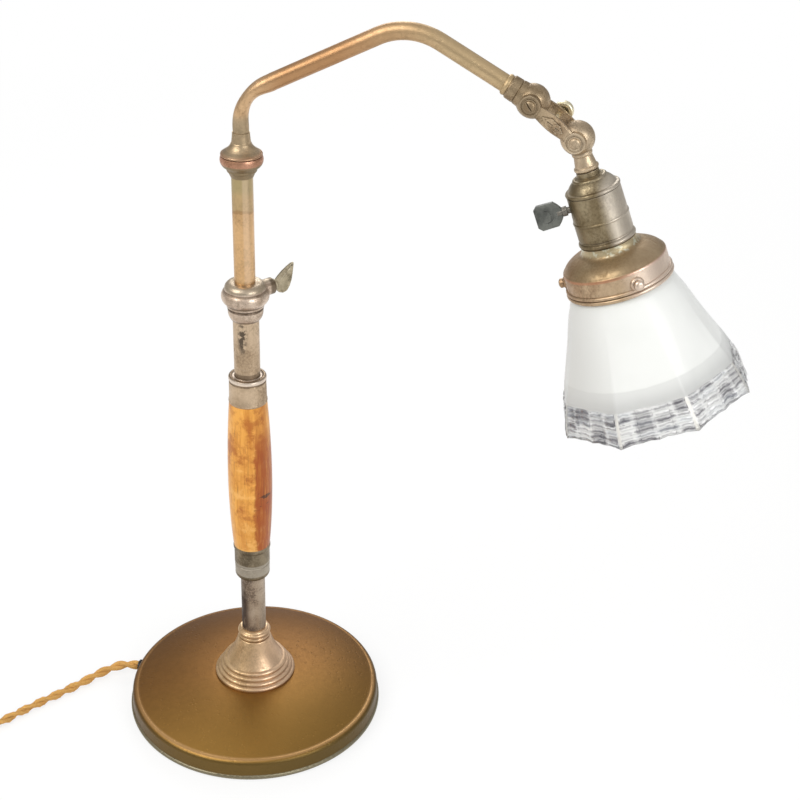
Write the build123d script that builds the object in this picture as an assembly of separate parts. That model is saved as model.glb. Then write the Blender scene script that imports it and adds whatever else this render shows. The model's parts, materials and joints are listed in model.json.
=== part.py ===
from build123d import *
import math
import os

# Swing arm desk lamp, in millimetres. The origin is the middle of the felt under the foot, +Z is up and the
# arm reaches out along +X. Hinge axes of the arm's two knuckles run along Y.

# Foot
base_radius = 86.0
base_wall = 1.4
base_edge_height = 14.6
base_top_height = 24.3
pedestal_seat_radius = 27.3
felt_radius = 82.5
felt_thickness = 2.0
cord_exit_angle = 182.0
cord_exit_height = 7.9
cord_exit_radius = 87.4

# Stem
pipe_radius = 4.9
pipe_hole_radius = 5.1
wire_bore_radius = 3.2
stem_foot = 60.4
lower_tube_radius = 8.1
outer_tube_radius = 8.15
inner_tube_radius = 6.45
tube_wall = 1.0
tenon_low = 117.6
tenon_high = 256.6
lower_tenon_radius = 9.8
upper_tenon_radius = 10.1
grip_low = 131.2
grip_high = 240.0
outer_tube_low = 122.0
outer_tube_top = 304.0
collar_low = 297.8
collar_top = 322.6
clamp_height = 314.5
clamp_angle = 55.0
inner_tube_low = 205.0
clamp_pin_radius = 2.0
swivel_low = 390.4
swivel_split = 403.8
nipple_radius = 4.6

# Arm and link
arm_tube_radius = 5.0
arm_foot_radius = 4.7
arm_tube_wall = 0.9
arm_tube_foot = 409.0
arm_collar_top = 417.5
arm_corner_height = 439.0
arm_apex = (98.3, 490.6)
arm_bend_radii = [25.0, 38.0]
# Foot and pressed bend: distance along the tube, half width in the plane of the bend, half width across it.
arm_squeeze = [
    (0, 4.7, 4.7),
    (7.5, 4.7, 4.7),
    (14.9, 4.7, 4.7),
    (20.9, 4.2, 5.0),
    (26.9, 3.75, 5.3),
    (32.4, 3.7, 5.35),
    (37.9, 4.15, 5.25),
    (43.9, 4.8, 5.1),
    (49.9, 5.0, 5.0),
]
arm_knuckle_at = (168.3, 454.3)
head_knuckle_at = (194.2, 436.4)
ball_radius = 9.6
ball_half_width = 7.4
plate_thickness = 2.2
plate_gap = 0.15
ball_to_tube = 11.6
ball_to_ferrule = 15.2
disc_radius = 5.7
disc_boss_height = 0.55
pivot_radius = 2.5
bail_pin_radius = 1.8
bail_offset = (1.4, -1.8)
bail_radius = 5.7
bail_room_radius = 3.5
bail_width = 4.6
knuckle_wire_bore = 2.6

# Head: heights along its own axis, counted from the centre of its knuckle
head_tilt = 21.0
key_angle = 170.0
key_height = 38.0
key_shaft_radius = 1.9
key_reach = 35.0
key_half_thickness = 1.5
shell_radius = 15.5
shell_end = 60.6
shell_end_radius = 14.3
liner_radius = 14.6
stub_radius = 4.8
screw_shell_radius = 13.8
block_end = 43.8
contact_radius = 4.0
shade_screw_angles = (60.0, 180.0, 300.0)
shade_screw_height = 80.6
shade_screw_radius = 1.5
shade_sides = 8
shade_turn = 13.0
shade_wall = 3.2
shade_mouth = 163.0
bulb_neck = 72.0
bulb_radius = 22.0
bulb_tip = 126.0

# Cord
cord_radius = 3.3
coil_centre = (-225.0, -120.0)
coil_radii = (26.3, 39.6)
coil_height = 26.4
plug_radius = 13.6
plug_length = 26.6
blade_pitch = 12.7

running_gap = 0.05
loose_gap = 0.3
here = (Align.CENTER, Align.CENTER, Align.MIN)


# ---------------------------------------------------------------- helpers

def outline(start, *steps):
    """Closed flat face: a step of one point is a line, of two an arc, of more a smooth curve."""
    edges = []
    last = start
    for step in steps:
        if len(step) == 1:
            edges.append(Line(last, step[0]))
        elif len(step) == 2:
            edges.append(ThreePointArc(last, *step))
        else:
            edges.append(Spline(last, *step))
        last = step[-1]
    if last != start:
        edges.append(Line(last, start))
    return make_face(edges)


def turned(start, *steps):
    """Turned piece about Z, from a closed outline of (radius, height) points."""
    return revolve(Plane.XZ * outline(start, *steps), Axis.Z)


def rod(radius, low, high):
    return Pos(0, 0, low) * Cylinder(radius, high - low, align=here)


def tube(outer, inner, low, high):
    return rod(outer, low, high) - rod(inner, low, high)


def radial(angle, height):
    """Plane at a height on Z whose own Z axis points outward at an angle from X."""
    heading = math.radians(angle)
    outward = (math.cos(heading), math.sin(heading), 0)
    return Plane(origin=(0, 0, height), x_dir=(0, 0, 1), z_dir=outward)


# Turns an outline of (distance out, height) points so that it stands on a radial plane.
upright = Plane(origin=(0, 0, 0), x_dir=(0, 0, 1), z_dir=(0, 1, 0))


# ---------------------------------------------------------------- foot

def felt_pad():
    return rod(felt_radius, 0, felt_thickness)


def base_cover():
    """Spun brass cover: rolled lip at the table, short wall, rounded edge and slightly domed top."""
    outside = turned(
        (0, 0.5),
        [(85.0, 0.5)],
        [(87.2, 2.0), (86.2, 3.6)],
        [(base_radius - 0.3, 10.6)],
        [(84.8, 13.4), (81.9, base_edge_height)],
        [(57.0, 20.9), (30.0, base_top_height)],
        [(0, base_top_height)],
    )
    inside = turned(
        (0, -1.0),
        [(base_radius - base_wall - 0.4, -1.0)],
        [(base_radius - base_wall - 0.4, 10.4)],
        [(83.4, 12.4), (81.3, base_edge_height - base_wall)],
        [(56.6, 20.9 - base_wall), (30.0, base_top_height - base_wall)],
        [(0, base_top_height - base_wall)],
    )
    cord_hole = radial(cord_exit_angle, cord_exit_height) * rod(3.95, 75, 95)
    return outside - inside - rod(pipe_hole_radius, 15, 30) - cord_hole


def base_weight():
    """Cast iron disc under the cover, with a pocket for the nut and a channel for the cord."""
    top = base_top_height - base_wall
    disc = turned(
        (0, felt_thickness),
        [(felt_radius, felt_thickness)],
        [(felt_radius, 10.0)],
        [(82.0, 11.8), (80.5, 12.5)],
        [(56.0, 18.7), (28.0, top - 0.6)],
        [(27.4, top)],
        [(0, top)],
    )
    pocket = rod(17.0, felt_thickness, 11.0)
    channel = Box(75, 9.6, 11.0, align=(Align.MIN, Align.CENTER, Align.MIN))
    channel = Rot(0, 0, cord_exit_angle) * Pos(10, 0, felt_thickness) * channel
    return disc - pocket - channel - rod(pipe_hole_radius, 0, 30)


def tie_washer():
    return tube(10.5, pipe_hole_radius, 9.9, 11.0)


def tie_nut():
    nut = extrude(Pos(0, 0, 5.9) * RegularPolygon(8.0, 6, major_radius=False), 4.0)
    return nut - rod(pipe_radius, 0, 12)


def tie_pipe():
    """Threaded pipe that the nut pulls on; it ends in a wider bush in the foot of the outer tube."""
    bush_top = outer_tube_low + 10.0
    pipe = rod(pipe_radius, 4.0, bush_top)
    bush = rod(outer_tube_radius - tube_wall, outer_tube_low, bush_top)
    return pipe + bush - rod(wire_bore_radius, 0, bush_top + 1)


def cord_bushing():
    body = rod(3.9, 79.5, 86.5) + rod(4.4, 86.35, cord_exit_radius)
    body = chamfer(body.edges().sort_by(Axis.Z)[-1:], 0.3)
    body = body - rod(cord_radius - 0.3, 75, 90)
    return radial(cord_exit_angle, cord_exit_height) * body


# ---------------------------------------------------------------- stem

def pedestal():
    """Bell-shaped turned foot of the stem: four beads at its edge, a steep cone, two beads and a lip on top."""
    bead_height = 2.9
    bead_step = 1.9
    seat = base_top_height
    beads = []
    for number in range(4):
        radius = pedestal_seat_radius - number * bead_step
        low = seat + number * bead_height
        beads.append([(radius, low)])
        beads.append([(radius + 0.2, low + 1.3), (radius - 1.2, low + bead_height - 0.3)])
    outside = turned(
        (0, seat),
        *beads,
        [(19.4, seat + 4 * bead_height)],
        [(14.6, 44.4), (11.3, 53.2)],
        [(10.9, 53.8), (10.1, 54.1)],
        [(10.7, 55.3), (9.9, 56.7)],
        [(9.8, 57.2)],
        [(11.1, 58.7), (9.8, 60.2)],
        [(9.2, 60.8), (9.0, 62.4)],
        [(0, 62.4)],
    )
    hollow = turned((0, seat), [(20.0, seat)], [(11.6, 37.0)], [(7.4, 48.0)], [(5.1, 52.0)], [(0, 52.0)])
    return outside - hollow - rod(pipe_hole_radius, 50, 70) - rod(lower_tube_radius, stem_foot, 70)


def lower_stem_tube():
    return tube(lower_tube_radius, lower_tube_radius - tube_wall - 0.2, stem_foot, 111.5)


def lower_ferrule():
    """Cup under the grip: bevelled ring below, plain body, bead at its lip."""
    outside = turned(
        (0, 105.8),
        [(9.6, 105.8)],
        [(11.3, 107.6), (11.5, 109.6)],
        [(11.6, 115.8)],
        [(11.2, 116.5), (11.75, 117.2)],
        [(11.75, 127.8)],
        [(12.3, 129.4), (12.0, grip_low)],
        [(0, grip_low)],
    )
    socket = rod(lower_tenon_radius, tenon_low, 140)
    return outside - socket - rod(pipe_hole_radius, 100, 140) - rod(lower_tube_radius, 100, 111.5)


def grip():
    """Turned wooden grip, fullest above its middle, with a tenon at each end for the ferrules."""
    body = turned(
        (0, grip_low),
        [(11.95, grip_low)],
        [(12.45, 136.5), (13.3, 148.0), (14.1, 166.0), (14.35, 180.0)],
        [(14.2, 197.0), (13.35, 221.0), (12.15, grip_high)],
        [(0, grip_high)],
    )
    tenons = rod(lower_tenon_radius, tenon_low, grip_low) + rod(upper_tenon_radius, grip_high, tenon_high)
    bore = rod(pipe_hole_radius, 100, 300) + rod(outer_tube_radius, outer_tube_low, 300)
    return body + tenons - bore


def upper_ferrule():
    """Cup over the grip: plain body, raised ring, narrower shoulder that closes on the tube."""
    outside = turned(
        (0, grip_high),
        [(12.1, grip_high)],
        [(12.4, 241.0), (12.0, 242.2)],
        [(11.85, 250.8)],
        [(11.5, 251.4)],
        [(12.0, 252.8), (11.5, 254.2)],
        [(11.2, 255.8)],
        [(10.6, 260.0), (8.9, 264.4)],
        [(8.6, 266.0)],
        [(0, 266.0)],
    )
    return outside - rod(upper_tenon_radius, 200, tenon_high) - rod(outer_tube_radius, 200, 300)


def outer_tube():
    return tube(outer_tube_radius, outer_tube_radius - tube_wall, outer_tube_low, outer_tube_top)


def clamp_collar():
    """Turned collar that guides the sliding tube, with a boss that its thumbscrew is threaded into."""
    body = turned(
        (0, collar_low),
        [(8.8, collar_low)],
        [(10.1, 299.8), (10.9, 302.8)],
        [(11.1, 305.4)],
        [(10.8, 306.0)],
        [(11.5, 306.6)],
        [(11.9, 308.4)],
        [(12.4, 309.1)],
        [(14.8, 313.6), (13.4, 317.3)],
        [(12.7, 317.8)],
        [(12.6, 319.6), (11.7, 321.2)],
        [(10.6, 322.1), (7.6, collar_top)],
        [(0, collar_top)],
    )
    boss = radial(clamp_angle, clamp_height) * rod(5.2, 8.0, 20.5)
    boss = chamfer(boss.edges().filter_by(GeomType.CIRCLE).sort_by(SortBy.DISTANCE)[-1:], 0.8)
    thread = radial(clamp_angle, clamp_height) * rod(clamp_pin_radius + running_gap, 5.0, 30.0)
    bore = rod(inner_tube_radius + running_gap, 290, 330) + rod(outer_tube_radius, 290, outer_tube_top)
    return body + boss - bore - thread


def clamp_thumbscrew():
    """Threaded pin with a leaf-shaped thumb wing that stands upright."""
    pin = rod(clamp_pin_radius, inner_tube_radius + loose_gap, 24.5)
    flange = rod(3.7, 20.9, 22.4)
    hub = rod(2.7, 22.2, 26.5)
    leaf = outline(
        (24.6, -1.8),
        [(25.4, -4.8), (28.2, -7.8), (31.8, -8.3), (35.4, -5.6), (37.6, -0.6), (38.6, 4.4), (38.8, 9.0)],
        [(35.2, 7.9), (30.6, 5.4), (26.8, 3.6), (24.6, 1.8)],
    )
    wing = extrude(leaf, 1.2, both=True)
    wing = fillet(wing.edges().filter_by(Axis.Z, reverse=True), 0.45)
    return radial(clamp_angle, clamp_height) * (pin + flange + hub + upright * wing)


def inner_tube():
    return tube(inner_tube_radius, inner_tube_radius - tube_wall, inner_tube_low, swivel_low + 2.0)


def guide_bush():
    """Bush on the sliding tube's foot: it runs in the outer tube and stops the slide at the collar."""
    outer = outer_tube_radius - tube_wall - running_gap
    return tube(outer, inner_tube_radius, inner_tube_low, inner_tube_low + 14.0)


def swivel_cup():
    """Lower half of the swivel, on top of the sliding tube: cone, thin ring and broad band."""
    outside = turned(
        (0, swivel_low),
        [(6.8, swivel_low)],
        [(8.0, 393.2)],
        [(8.8, 394.0), (9.1, 395.2)],
        [(10.0, 396.4)],
        [(11.0, 397.0)],
        [(12.8, 400.6), (12.3, swivel_split - loose_gap)],
        [(0, swivel_split - loose_gap)],
    )
    return outside - rod(inner_tube_radius, 380, swivel_low + 2.0) - rod(nipple_radius, 380, 410)


def swivel_nipple():
    return tube(nipple_radius, wire_bore_radius, 386.0, 408.0)


def swivel_nut():
    """Round nut on the nipple, inside the arm's collar: it keeps the arm on the mast."""
    return tube(6.3, nipple_radius, 405.9, 407.7)


# ---------------------------------------------------------------- arm

def arm_collar():
    """Upper half of the swivel: narrow band, cone and neck that the arm's tube stands in."""
    outside = turned(
        (0, swivel_split),
        [(12.1, swivel_split)],
        [(12.4, 404.5), (11.8, 405.2)],
        [(11.0, 405.8)],
        [(9.4, 406.9), (7.5, 408.6), (6.1, 411.0)],
        [(5.8, 411.4)],
        [(5.4, 414.4), (5.2, arm_collar_top)],
        [(0, arm_collar_top)],
    )
    nut_room = rod(6.9, 405.6, 408.3)
    bore = rod(nipple_radius + running_gap, 400, 406) + rod(wire_bore_radius, 408, 410)
    return outside - nut_room - bore - rod(arm_foot_radius, arm_tube_foot, 420)


def arm_path():
    """Centre line of the arm's tube: upright, a tight bend, a long rise, a soft apex and a straight fall."""
    apex = Vector(arm_apex[0], 0, arm_apex[1])
    knuckle = Vector(arm_knuckle_at[0], 0, arm_knuckle_at[1])
    end = knuckle - (knuckle - apex).normalized() * ball_to_tube
    corner = (0, 0, arm_corner_height)
    return FilletPolyline((0, 0, arm_tube_foot), corner, apex, end, radius=arm_bend_radii)


def arm_surface(inward):
    """Outside of the arm's tube, or its bore when inward is the wall: upright foot, pressed bend, round run."""
    path = arm_path()
    sections = []
    for distance, narrow, wide in arm_squeeze:
        along = distance / path.length
        across = Plane(origin=path @ along, x_dir=(0, 1, 0), z_dir=path % along)
        sections.append(across * Ellipse(wide - inward, narrow - inward))
    run_start = path @ along
    apex = (arm_apex[0], 0, arm_apex[1])
    rest = FilletPolyline(run_start, apex, path @ 1, radius=arm_bend_radii[1])
    section = Plane(origin=run_start, x_dir=(0, 1, 0), z_dir=rest % 0) * Circle(arm_tube_radius - inward)
    return loft(sections) + sweep(section, path=rest)


def arm_tube():
    return arm_surface(0) - arm_surface(arm_tube_wall)


def arm_end_plane():
    """Plane at the arm's knuckle whose Z axis points out along the end of the arm."""
    apex = Vector(arm_apex[0], 0, arm_apex[1])
    knuckle = Vector(arm_knuckle_at[0], 0, arm_knuckle_at[1])
    return Plane(origin=knuckle, x_dir=(0, -1, 0), z_dir=(knuckle - apex).normalized())


def knuckle_ball():
    """Ball with two flats for the link's cheeks and a bore for its pivot along Z."""
    flats = Box(30, 30, 2 * ball_half_width)
    return (Sphere(ball_radius) & flats) - Cylinder(pivot_radius + running_gap, 30)


def arm_knuckle():
    """Ball and coned neck at the end of the arm; the tube stands in the neck."""
    neck = turned(
        (0, -ball_to_ferrule),
        [(6.2, -ball_to_ferrule)],
        [(6.8, -14.4)],
        [(6.9, -10.0)],
        [(6.6, -9.6)],
        [(7.0, -9.2)],
        [(7.3, -6.0)],
        [(0, -6.0)],
    )
    neck = neck - rod(arm_tube_radius, -20, -ball_to_tube)
    ball = Rot(0, 90, 0) * knuckle_ball()
    return arm_end_plane() * (neck + ball - rod(knuckle_wire_bore, -12, -5))


def arm_ferrule():
    """Thin ring where the tube enters the knuckle's neck."""
    ring = turned((0, -18.0), [(5.5, -18.0)], [(6.2, -16.6), (5.8, -ball_to_ferrule)], [(0, -ball_to_ferrule)])
    return arm_end_plane() * (ring - rod(arm_tube_radius, -20, -10))


# ---------------------------------------------------------------- link

link_start = Vector(arm_knuckle_at[0], 0, arm_knuckle_at[1])
link_run = Vector(head_knuckle_at[0], 0, head_knuckle_at[1]) - link_start
link_length = link_run.length
link_plane = Plane(origin=link_start, x_dir=link_run.normalized(), z_dir=(0, -1, 0))


cheek_inside = ball_half_width + plate_gap
cheek_outside = cheek_inside + plate_thickness
bail_place = link_length / 2


def cheek():
    """One cheek of the link, facing +Z: a ringed disc over each ball, joined by a waisted and bevelled bar."""
    half = link_length / 2
    side = [(7.4, 3.9), (14.0, 3.0)]
    upper = [(half + x, y) for x, y in [(-14.0, 3.0), (-7.4, 3.9), (0, 4.5)] + side]
    lower = [(half - x, -y) for x, y in [(-14.0, 3.0), (-7.4, 3.9), (0, 4.5)] + side]
    bar = extrude(Pos(0, 0, cheek_inside) * outline(upper[0], upper[1:], [lower[0]], lower[1:]), plate_thickness)
    bar = chamfer(bar.faces().sort_by(Axis.Z)[-1].edges(), 0.9)
    disc = rod(disc_radius, cheek_inside, cheek_outside)
    ring = tube(disc_radius, disc_radius - 0.8, cheek_outside, cheek_outside + 0.35)
    boss = rod(3.8, cheek_inside, cheek_outside + disc_boss_height)
    for at in (0, link_length):
        bar = bar + Pos(at, 0, 0) * (disc + ring + boss)
    for at in (0, link_length):
        bar = bar - Pos(at, 0, 0) * rod(pivot_radius, 0, cheek_outside + 5)
    return bar


def leaf():
    """Leaf carved on the front cheek: a pointed blade with a sunk midrib between two pairs of side lobes."""
    blade = outline((-7.0, 0), [(-1.0, 2.4), (7.0, 0)], [(-1.0, -2.4), (-7.0, 0)])
    carving = extrude(blade, 0.5) - Pos(0, 0, 0.5) * Box(10.0, 0.5, 0.6)
    lobe = outline((0, 0), [(2.2, 0.9), (4.6, 0)], [(2.2, -0.9), (0, 0)])
    for at, lean in ((-4.6, 38), (0.2, 30)):
        for side in (-1, 1):
            carving = carving + Pos(at, 0, 0) * Rot(0, 0, side * lean) * extrude(lobe, 0.75)
    return carving


def link_plate_front():
    blind_thread = Pos(bail_place, 0, 0) * rod(bail_pin_radius + running_gap, 0, cheek_inside + 1.5)
    carving = Pos(link_length / 2, 0, cheek_outside) * leaf()
    return link_plane * (cheek() + carving - blind_thread)


def link_plate_rear():
    through_hole = Pos(bail_place, 0, 0) * rod(bail_pin_radius + running_gap, 0, cheek_outside + 5)
    return link_plane * (Rot(180, 0, 0) * (cheek() - through_hole))


def pivot(slotted):
    """Pivot through both cheeks and a ball, with a domed head at each end."""
    seat = cheek_outside + disc_boss_height
    crown = seat + 1.4
    body = rod(pivot_radius, -seat, seat)
    dome = [(2.0, seat + 1.2), (0.7, crown)]
    head = turned((0, seat), [(3.0, seat)], [(2.9, seat + 0.7)], dome, [(0, crown)])
    for side in (0, 180):
        body = body + Rot(side, 0, 0) * head
    if slotted:
        body = body - Pos(0, 0, crown - 0.2) * Rot(0, 0, -20) * Box(8, 0.9, 1.2)
    return body


def arm_pivot_screw():
    return link_plane * pivot(True)


def head_pivot_pin():
    return link_plane * (Pos(link_length, 0, 0) * pivot(False))


def bail_screw():
    """Clamping screw of the link: threaded pin and, off its axis, a round thumb piece dished towards the link."""
    hub_face = cheek_outside + loose_gap
    knob_face = hub_face + 1.0
    knob_back = knob_face + bail_width
    thumb = fillet(rod(bail_radius, knob_face, knob_back).edges().filter_by(GeomType.CIRCLE), 1.0)
    thumb = Pos(*bail_offset) * (thumb - rod(bail_room_radius, knob_face - 1, knob_back - 1.2))
    collar = rod(2.7, hub_face, hub_face + 0.7)
    pin = rod(bail_pin_radius, -cheek_inside - 1.3, knob_back - 0.6)
    return link_plane * (Pos(bail_place, 0, 0) * Rot(180, 0, 0) * (thumb + collar + pin))


# ---------------------------------------------------------------- head

tilt = math.radians(head_tilt)
head_plane = Plane(
    origin=(head_knuckle_at[0], 0, head_knuckle_at[1]),
    x_dir=(math.cos(tilt), 0, math.sin(tilt)),
    z_dir=(math.sin(tilt), 0, -math.cos(tilt)),
)


def head_knuckle():
    """Second ball with a turned neck and the stub that the socket's cap is screwed on."""
    neck = turned(
        (0, 6.6),
        [(4.9, 7.0)],
        [(5.8, 8.8), (5.2, 10.2)],
        [(6.1, 15.8)],
        [(6.8, 16.4)],
        [(7.0, 17.3), (6.6, 18.2)],
        [(5.6, 18.9)],
        [(stub_radius, 18.9)],
        [(stub_radius, 26.0)],
        [(0, 26.0)],
    )
    ball = Rot(90, 0, 0) * knuckle_ball()
    return head_plane * (neck + ball - rod(knuckle_wire_bore, 5, 30))


def socket_cap():
    """Spun cap of the socket: neck, stepped shoulder and rolled rim."""
    outside = turned(
        (0, 18.9),
        [(6.4, 18.9)],
        [(6.6, 21.4)],
        [(8.2, 22.2)],
        [(9.6, 22.6), (9.9, 23.6)],
        [(12.2, 25.6), (13.9, 28.2)],
        [(15.2, 28.6)],
        [(15.7, 29.6), (15.2, 30.6)],
        [(0, 30.6)],
    )
    inside = turned(
        (0, 20.4),
        [(8.0, 23.4)],
        [(11.4, 26.6), (13.0, 28.8)],
        [(shell_end_radius, 29.2)],
        [(shell_end_radius, 31)],
        [(0, 31)],
    )
    return head_plane * (outside - inside - rod(stub_radius, 10, 30))


def socket_shell():
    """Brass shell of the socket: seam ring, lower groove and bead, and the hole that the key turns in."""
    outside = turned(
        (0, 29.3),
        [(shell_end_radius, 29.3)],
        [(shell_end_radius, 30.7)],
        [(shell_radius - 0.2, 30.8)],
        [(shell_radius, 45.6)],
        [(shell_radius + 0.5, 46.4), (shell_radius + 0.2, 47.2)],
        [(shell_radius + 0.2, 56.4)],
        [(shell_radius - 0.4, 57.2), (shell_radius + 0.3, 58.0)],
        [(shell_radius + 0.9, 59.3), (shell_radius + 0.2, shell_end)],
        [(0, shell_end)],
    )
    key_hole = radial(key_angle, key_height) * rod(4.0, 5, 25)
    return head_plane * (outside - rod(13.6, 20, 32) - rod(liner_radius, 32, 70) - key_hole)


def socket_liner():
    """Pressed paper sleeve that keeps the shell away from the live parts."""
    sleeve = tube(liner_radius, liner_radius - 0.6, 32.0, shell_end)
    return head_plane * (sleeve - radial(key_angle, key_height) * rod(2.3, 5, 25))


def socket_block():
    """Porcelain block that carries the switch and the contacts."""
    block = rod(screw_shell_radius, 32.0, block_end) - rod(contact_radius, 41.2, 50)
    return head_plane * (block - radial(key_angle, key_height) * rod(key_shaft_radius + running_gap, -4, 25))


def screw_shell():
    return head_plane * tube(screw_shell_radius, screw_shell_radius - 0.6, block_end, 69.0)


def centre_contact():
    return head_plane * turned(
        (0, 41.2),
        [(contact_radius, 41.2)],
        [(contact_radius, 43.0)],
        [(2.6, 43.4)],
        [(1.9, 45.4), (0.6, 46.0)],
        [(0, 46.0)],
    )


def shade_holder():
    """Spun fitter: neck, domed shoulder, straight skirt, double rolled rim and three pressed screw bosses."""
    outside = turned(
        (0, 60.8),
        [(15.9, 60.8)],
        [(16.0, 63.2), (16.8, 64.9), (19.6, 66.4), (23.8, 68.3), (27.0, 70.4), (28.7, 72.4)],
        [(29.5, 73.3), (29.7, 74.6)],
        [(29.8, 82.6)],
        [(30.9, 83.8), (29.9, 84.9)],
        [(31.1, 86.1), (29.9, 87.3)],
        [(0, 87.3)],
    )
    inside = turned(
        (0, 60.0),
        [(14.9, 60.0)],
        [(15.0, 63.8), (16.1, 66.0), (19.1, 67.5), (23.3, 69.4), (26.3, 71.5), (27.8, 73.6)],
        [(28.6, 75.2)],
        [(28.8, 88.0)],
        [(0, 88.0)],
    )
    holder = outside - inside
    boss = turned((0, 28.9), [(4.1, 28.9)], [(3.9, 30.6), (3.0, 31.4)], [(0, 31.4)])
    hole = rod(shade_screw_radius + running_gap, 20, 40)
    for angle in shade_screw_angles:
        place = radial(angle, shade_screw_height)
        holder = holder + place * boss - place * hole
    return head_plane * holder


def shade_screw(angle):
    """Small round-headed screw that holds the glass by its neck."""
    pin = rod(shade_screw_radius, 27.5 + loose_gap, 32.2)
    head = turned((0, 31.7), [(2.7, 31.7)], [(2.8, 33.4)], [(2.0, 34.2), (0.6, 34.5)], [(0, 34.5)])
    return head_plane * (radial(angle, shade_screw_height) * (pin + head))


def shade_section(height, flat_radius, softness):
    """Eight-sided section of the shade; softness 1 rounds it to a circle."""
    corners = RegularPolygon(flat_radius, shade_sides, major_radius=False, rotation=shade_turn)
    section = fillet(corners.vertices(), softness * flat_radius)
    return Pos(0, 0, height) * section


def shade():
    """Pressed glass: round neck with a lip, then a bell that opens into eight flat panels."""
    stations = [
        (88.0, 29.6, 0.97),
        (102.0, 34.9, 0.93),
        (114.0, 38.8, 0.84),
        (126.0, 43.0, 0.68),
        (138.0, 47.0, 0.44),
        (150.0, 50.4, 0.20),
        (shade_mouth, 53.0, 0.05),
    ]
    bell = loft([shade_section(*station) for station in stations])
    inner = [(height, flat - shade_wall, softness) for height, flat, softness in stations]
    first, last = inner[0], inner[-1]
    inner[0] = (first[0] - 0.5, first[1] - 0.3, first[2])
    inner[-1] = (last[0] + 0.5, last[1] + 0.2, last[2])
    room = loft([shade_section(*station) for station in inner])
    neck = turned(
        (23.5, 76.8),
        [(27.1, 76.8)],
        [(28.0, 77.8), (27.4, 78.6)],
        [(27.4, 85.4)],
        [(28.2, 87.2), (29.6, 88.2)],
        [(26.2, 88.2)],
        [(23.5, 84.0)],
    )
    return head_plane * (bell - room + neck)


def bulb_base():
    """Hollow screw base of the bulb, coned to its contact."""
    outside = [(5.0, 46.4)], [(12.6, 49.6)], [(13.0, 50.6)], [(13.0, bulb_neck)], [(0, bulb_neck)]
    inside = [(4.8, 47.4)], [(11.7, 50.3)], [(12.2, 51.4)], [(12.2, bulb_neck)], [(0, bulb_neck)]
    return head_plane * (turned((0, 46.4), *outside) - turned((0, 47.4), *inside))


def bulb_outline(wall):
    """Inside or outside of the bulb's glass: a neck that opens into a globe."""
    waist = 12.6 - wall
    widest = bulb_radius - wall
    tip = bulb_tip - wall
    flare = [(waist + 1.0, 78.0), (waist + 3.8, 85.5), (widest - 1.8, 93.7), (widest, 104.0)]
    end = [(widest - 5.1, tip - 7.1), (1.0, tip)]
    return turned((0, bulb_neck), [(waist, bulb_neck)], flare, end, [(0, tip)])


def bulb_globe():
    return head_plane * (bulb_outline(0) - bulb_outline(0.8))


def key_shaft():
    """Switch spindle with a collar just outside the shell."""
    shaft = rod(key_shaft_radius, 2.0, 22.6) + rod(2.8, 17.0, 19.4)
    return head_plane * (radial(key_angle, key_height) * shaft)


def key_paddle():
    """Flat turn key with clipped corners and a sunk crescent on each face."""
    blade = outline(
        (19.6, -2.4),
        [(21.2, -4.8)],
        [(23.4, -7.2)],
        [(32.8, -7.4)],
        [(key_reach, -5.2)],
        [(key_reach, 5.2)],
        [(32.8, 7.4)],
        [(23.4, 7.2)],
        [(21.2, 4.8)],
        [(19.6, 2.4)],
    )
    solid = extrude(blade, key_half_thickness, both=True)
    solid = fillet(solid.edges().filter_by(Axis.Z, reverse=True), 0.5)
    crescent = Pos(28.6, 0) * Circle(3.8) - Pos(29.7, 0) * Circle(3.5)
    for face in (-key_half_thickness, key_half_thickness):
        solid = solid - extrude(Pos(0, 0, face) * crescent, 0.35, both=True)
    solid = radial(key_angle, key_height) * (upright * solid - rod(key_shaft_radius, 0, 22.6))
    return head_plane * solid


# ---------------------------------------------------------------- cord

def cord_tube(points):
    """Cord along hand-set points: each corner is rounded as much as its two runs allow."""
    radii = []
    for before, corner, after in zip(points, points[1:], points[2:]):
        came = Vector(*corner) - Vector(*before)
        goes = Vector(*after) - Vector(*corner)
        half_turn = math.radians(came.get_angle(goes)) / 2
        radii.append(0.45 * min(came.length, goes.length) / math.tan(half_turn))
    path = FilletPolyline(*points, radius=radii)
    print("cord radii", [round(radius, 1) for radius in radii], "length", round(path.length, 1))
    start = Plane(origin=path @ 0, z_dir=path % 0)
    return sweep(start * Circle(cord_radius), path=path)


def cord_lead():
    heading = math.radians(cord_exit_angle)
    points = []
    for distance in (cord_exit_radius, cord_exit_radius + 8.6):
        points.append((distance * math.cos(heading), distance * math.sin(heading), cord_exit_height))
    points += [
        (-104.2, -6.9, 6.2),
        (-113.1, -14.9, 4.2),
        (-124.8, -33.6, cord_radius),
        (-143.6, -59.5, cord_radius),
        (-165.5, -95.5, cord_radius),
        (-187.0, -128.2, cord_radius),
    ]
    return cord_tube(points)


def cord_coil():
    ring = tube(coil_radii[1], coil_radii[0], 0, coil_height)
    ring = fillet(ring.edges(), 3.0)
    return Pos(*coil_centre, 0) * ring


tail_points = [
    (-258.8, -99.0, 22.6),
    (-254.8, -78.0, 18.6),
    (-247.5, -56.4, plug_radius + 0.2),
    (-240.9, -36.4, plug_radius + 0.2),
]
tail_end = Vector(*tail_points[-1]) - Vector(*tail_points[-2])
plug_plane = Plane(origin=tail_points[-1], x_dir=(0, 0, 1), z_dir=tail_end)


def cord_tail():
    return cord_tube(tail_points)


def plug_body():
    """Round two-blade plug, drawn in where the cord enters."""
    return plug_plane * turned(
        (0, 0),
        [(5.0, 0)],
        [(6.4, 0.6), (6.8, 2.0)],
        [(7.2, 7.0), (10.5, 11.0)],
        [(12.8, 12.6), (plug_radius, 15.0)],
        [(plug_radius, 25.0)],
        [(13.2, 26.2), (12.2, plug_length)],
        [(0, plug_length)],
    )


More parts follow.
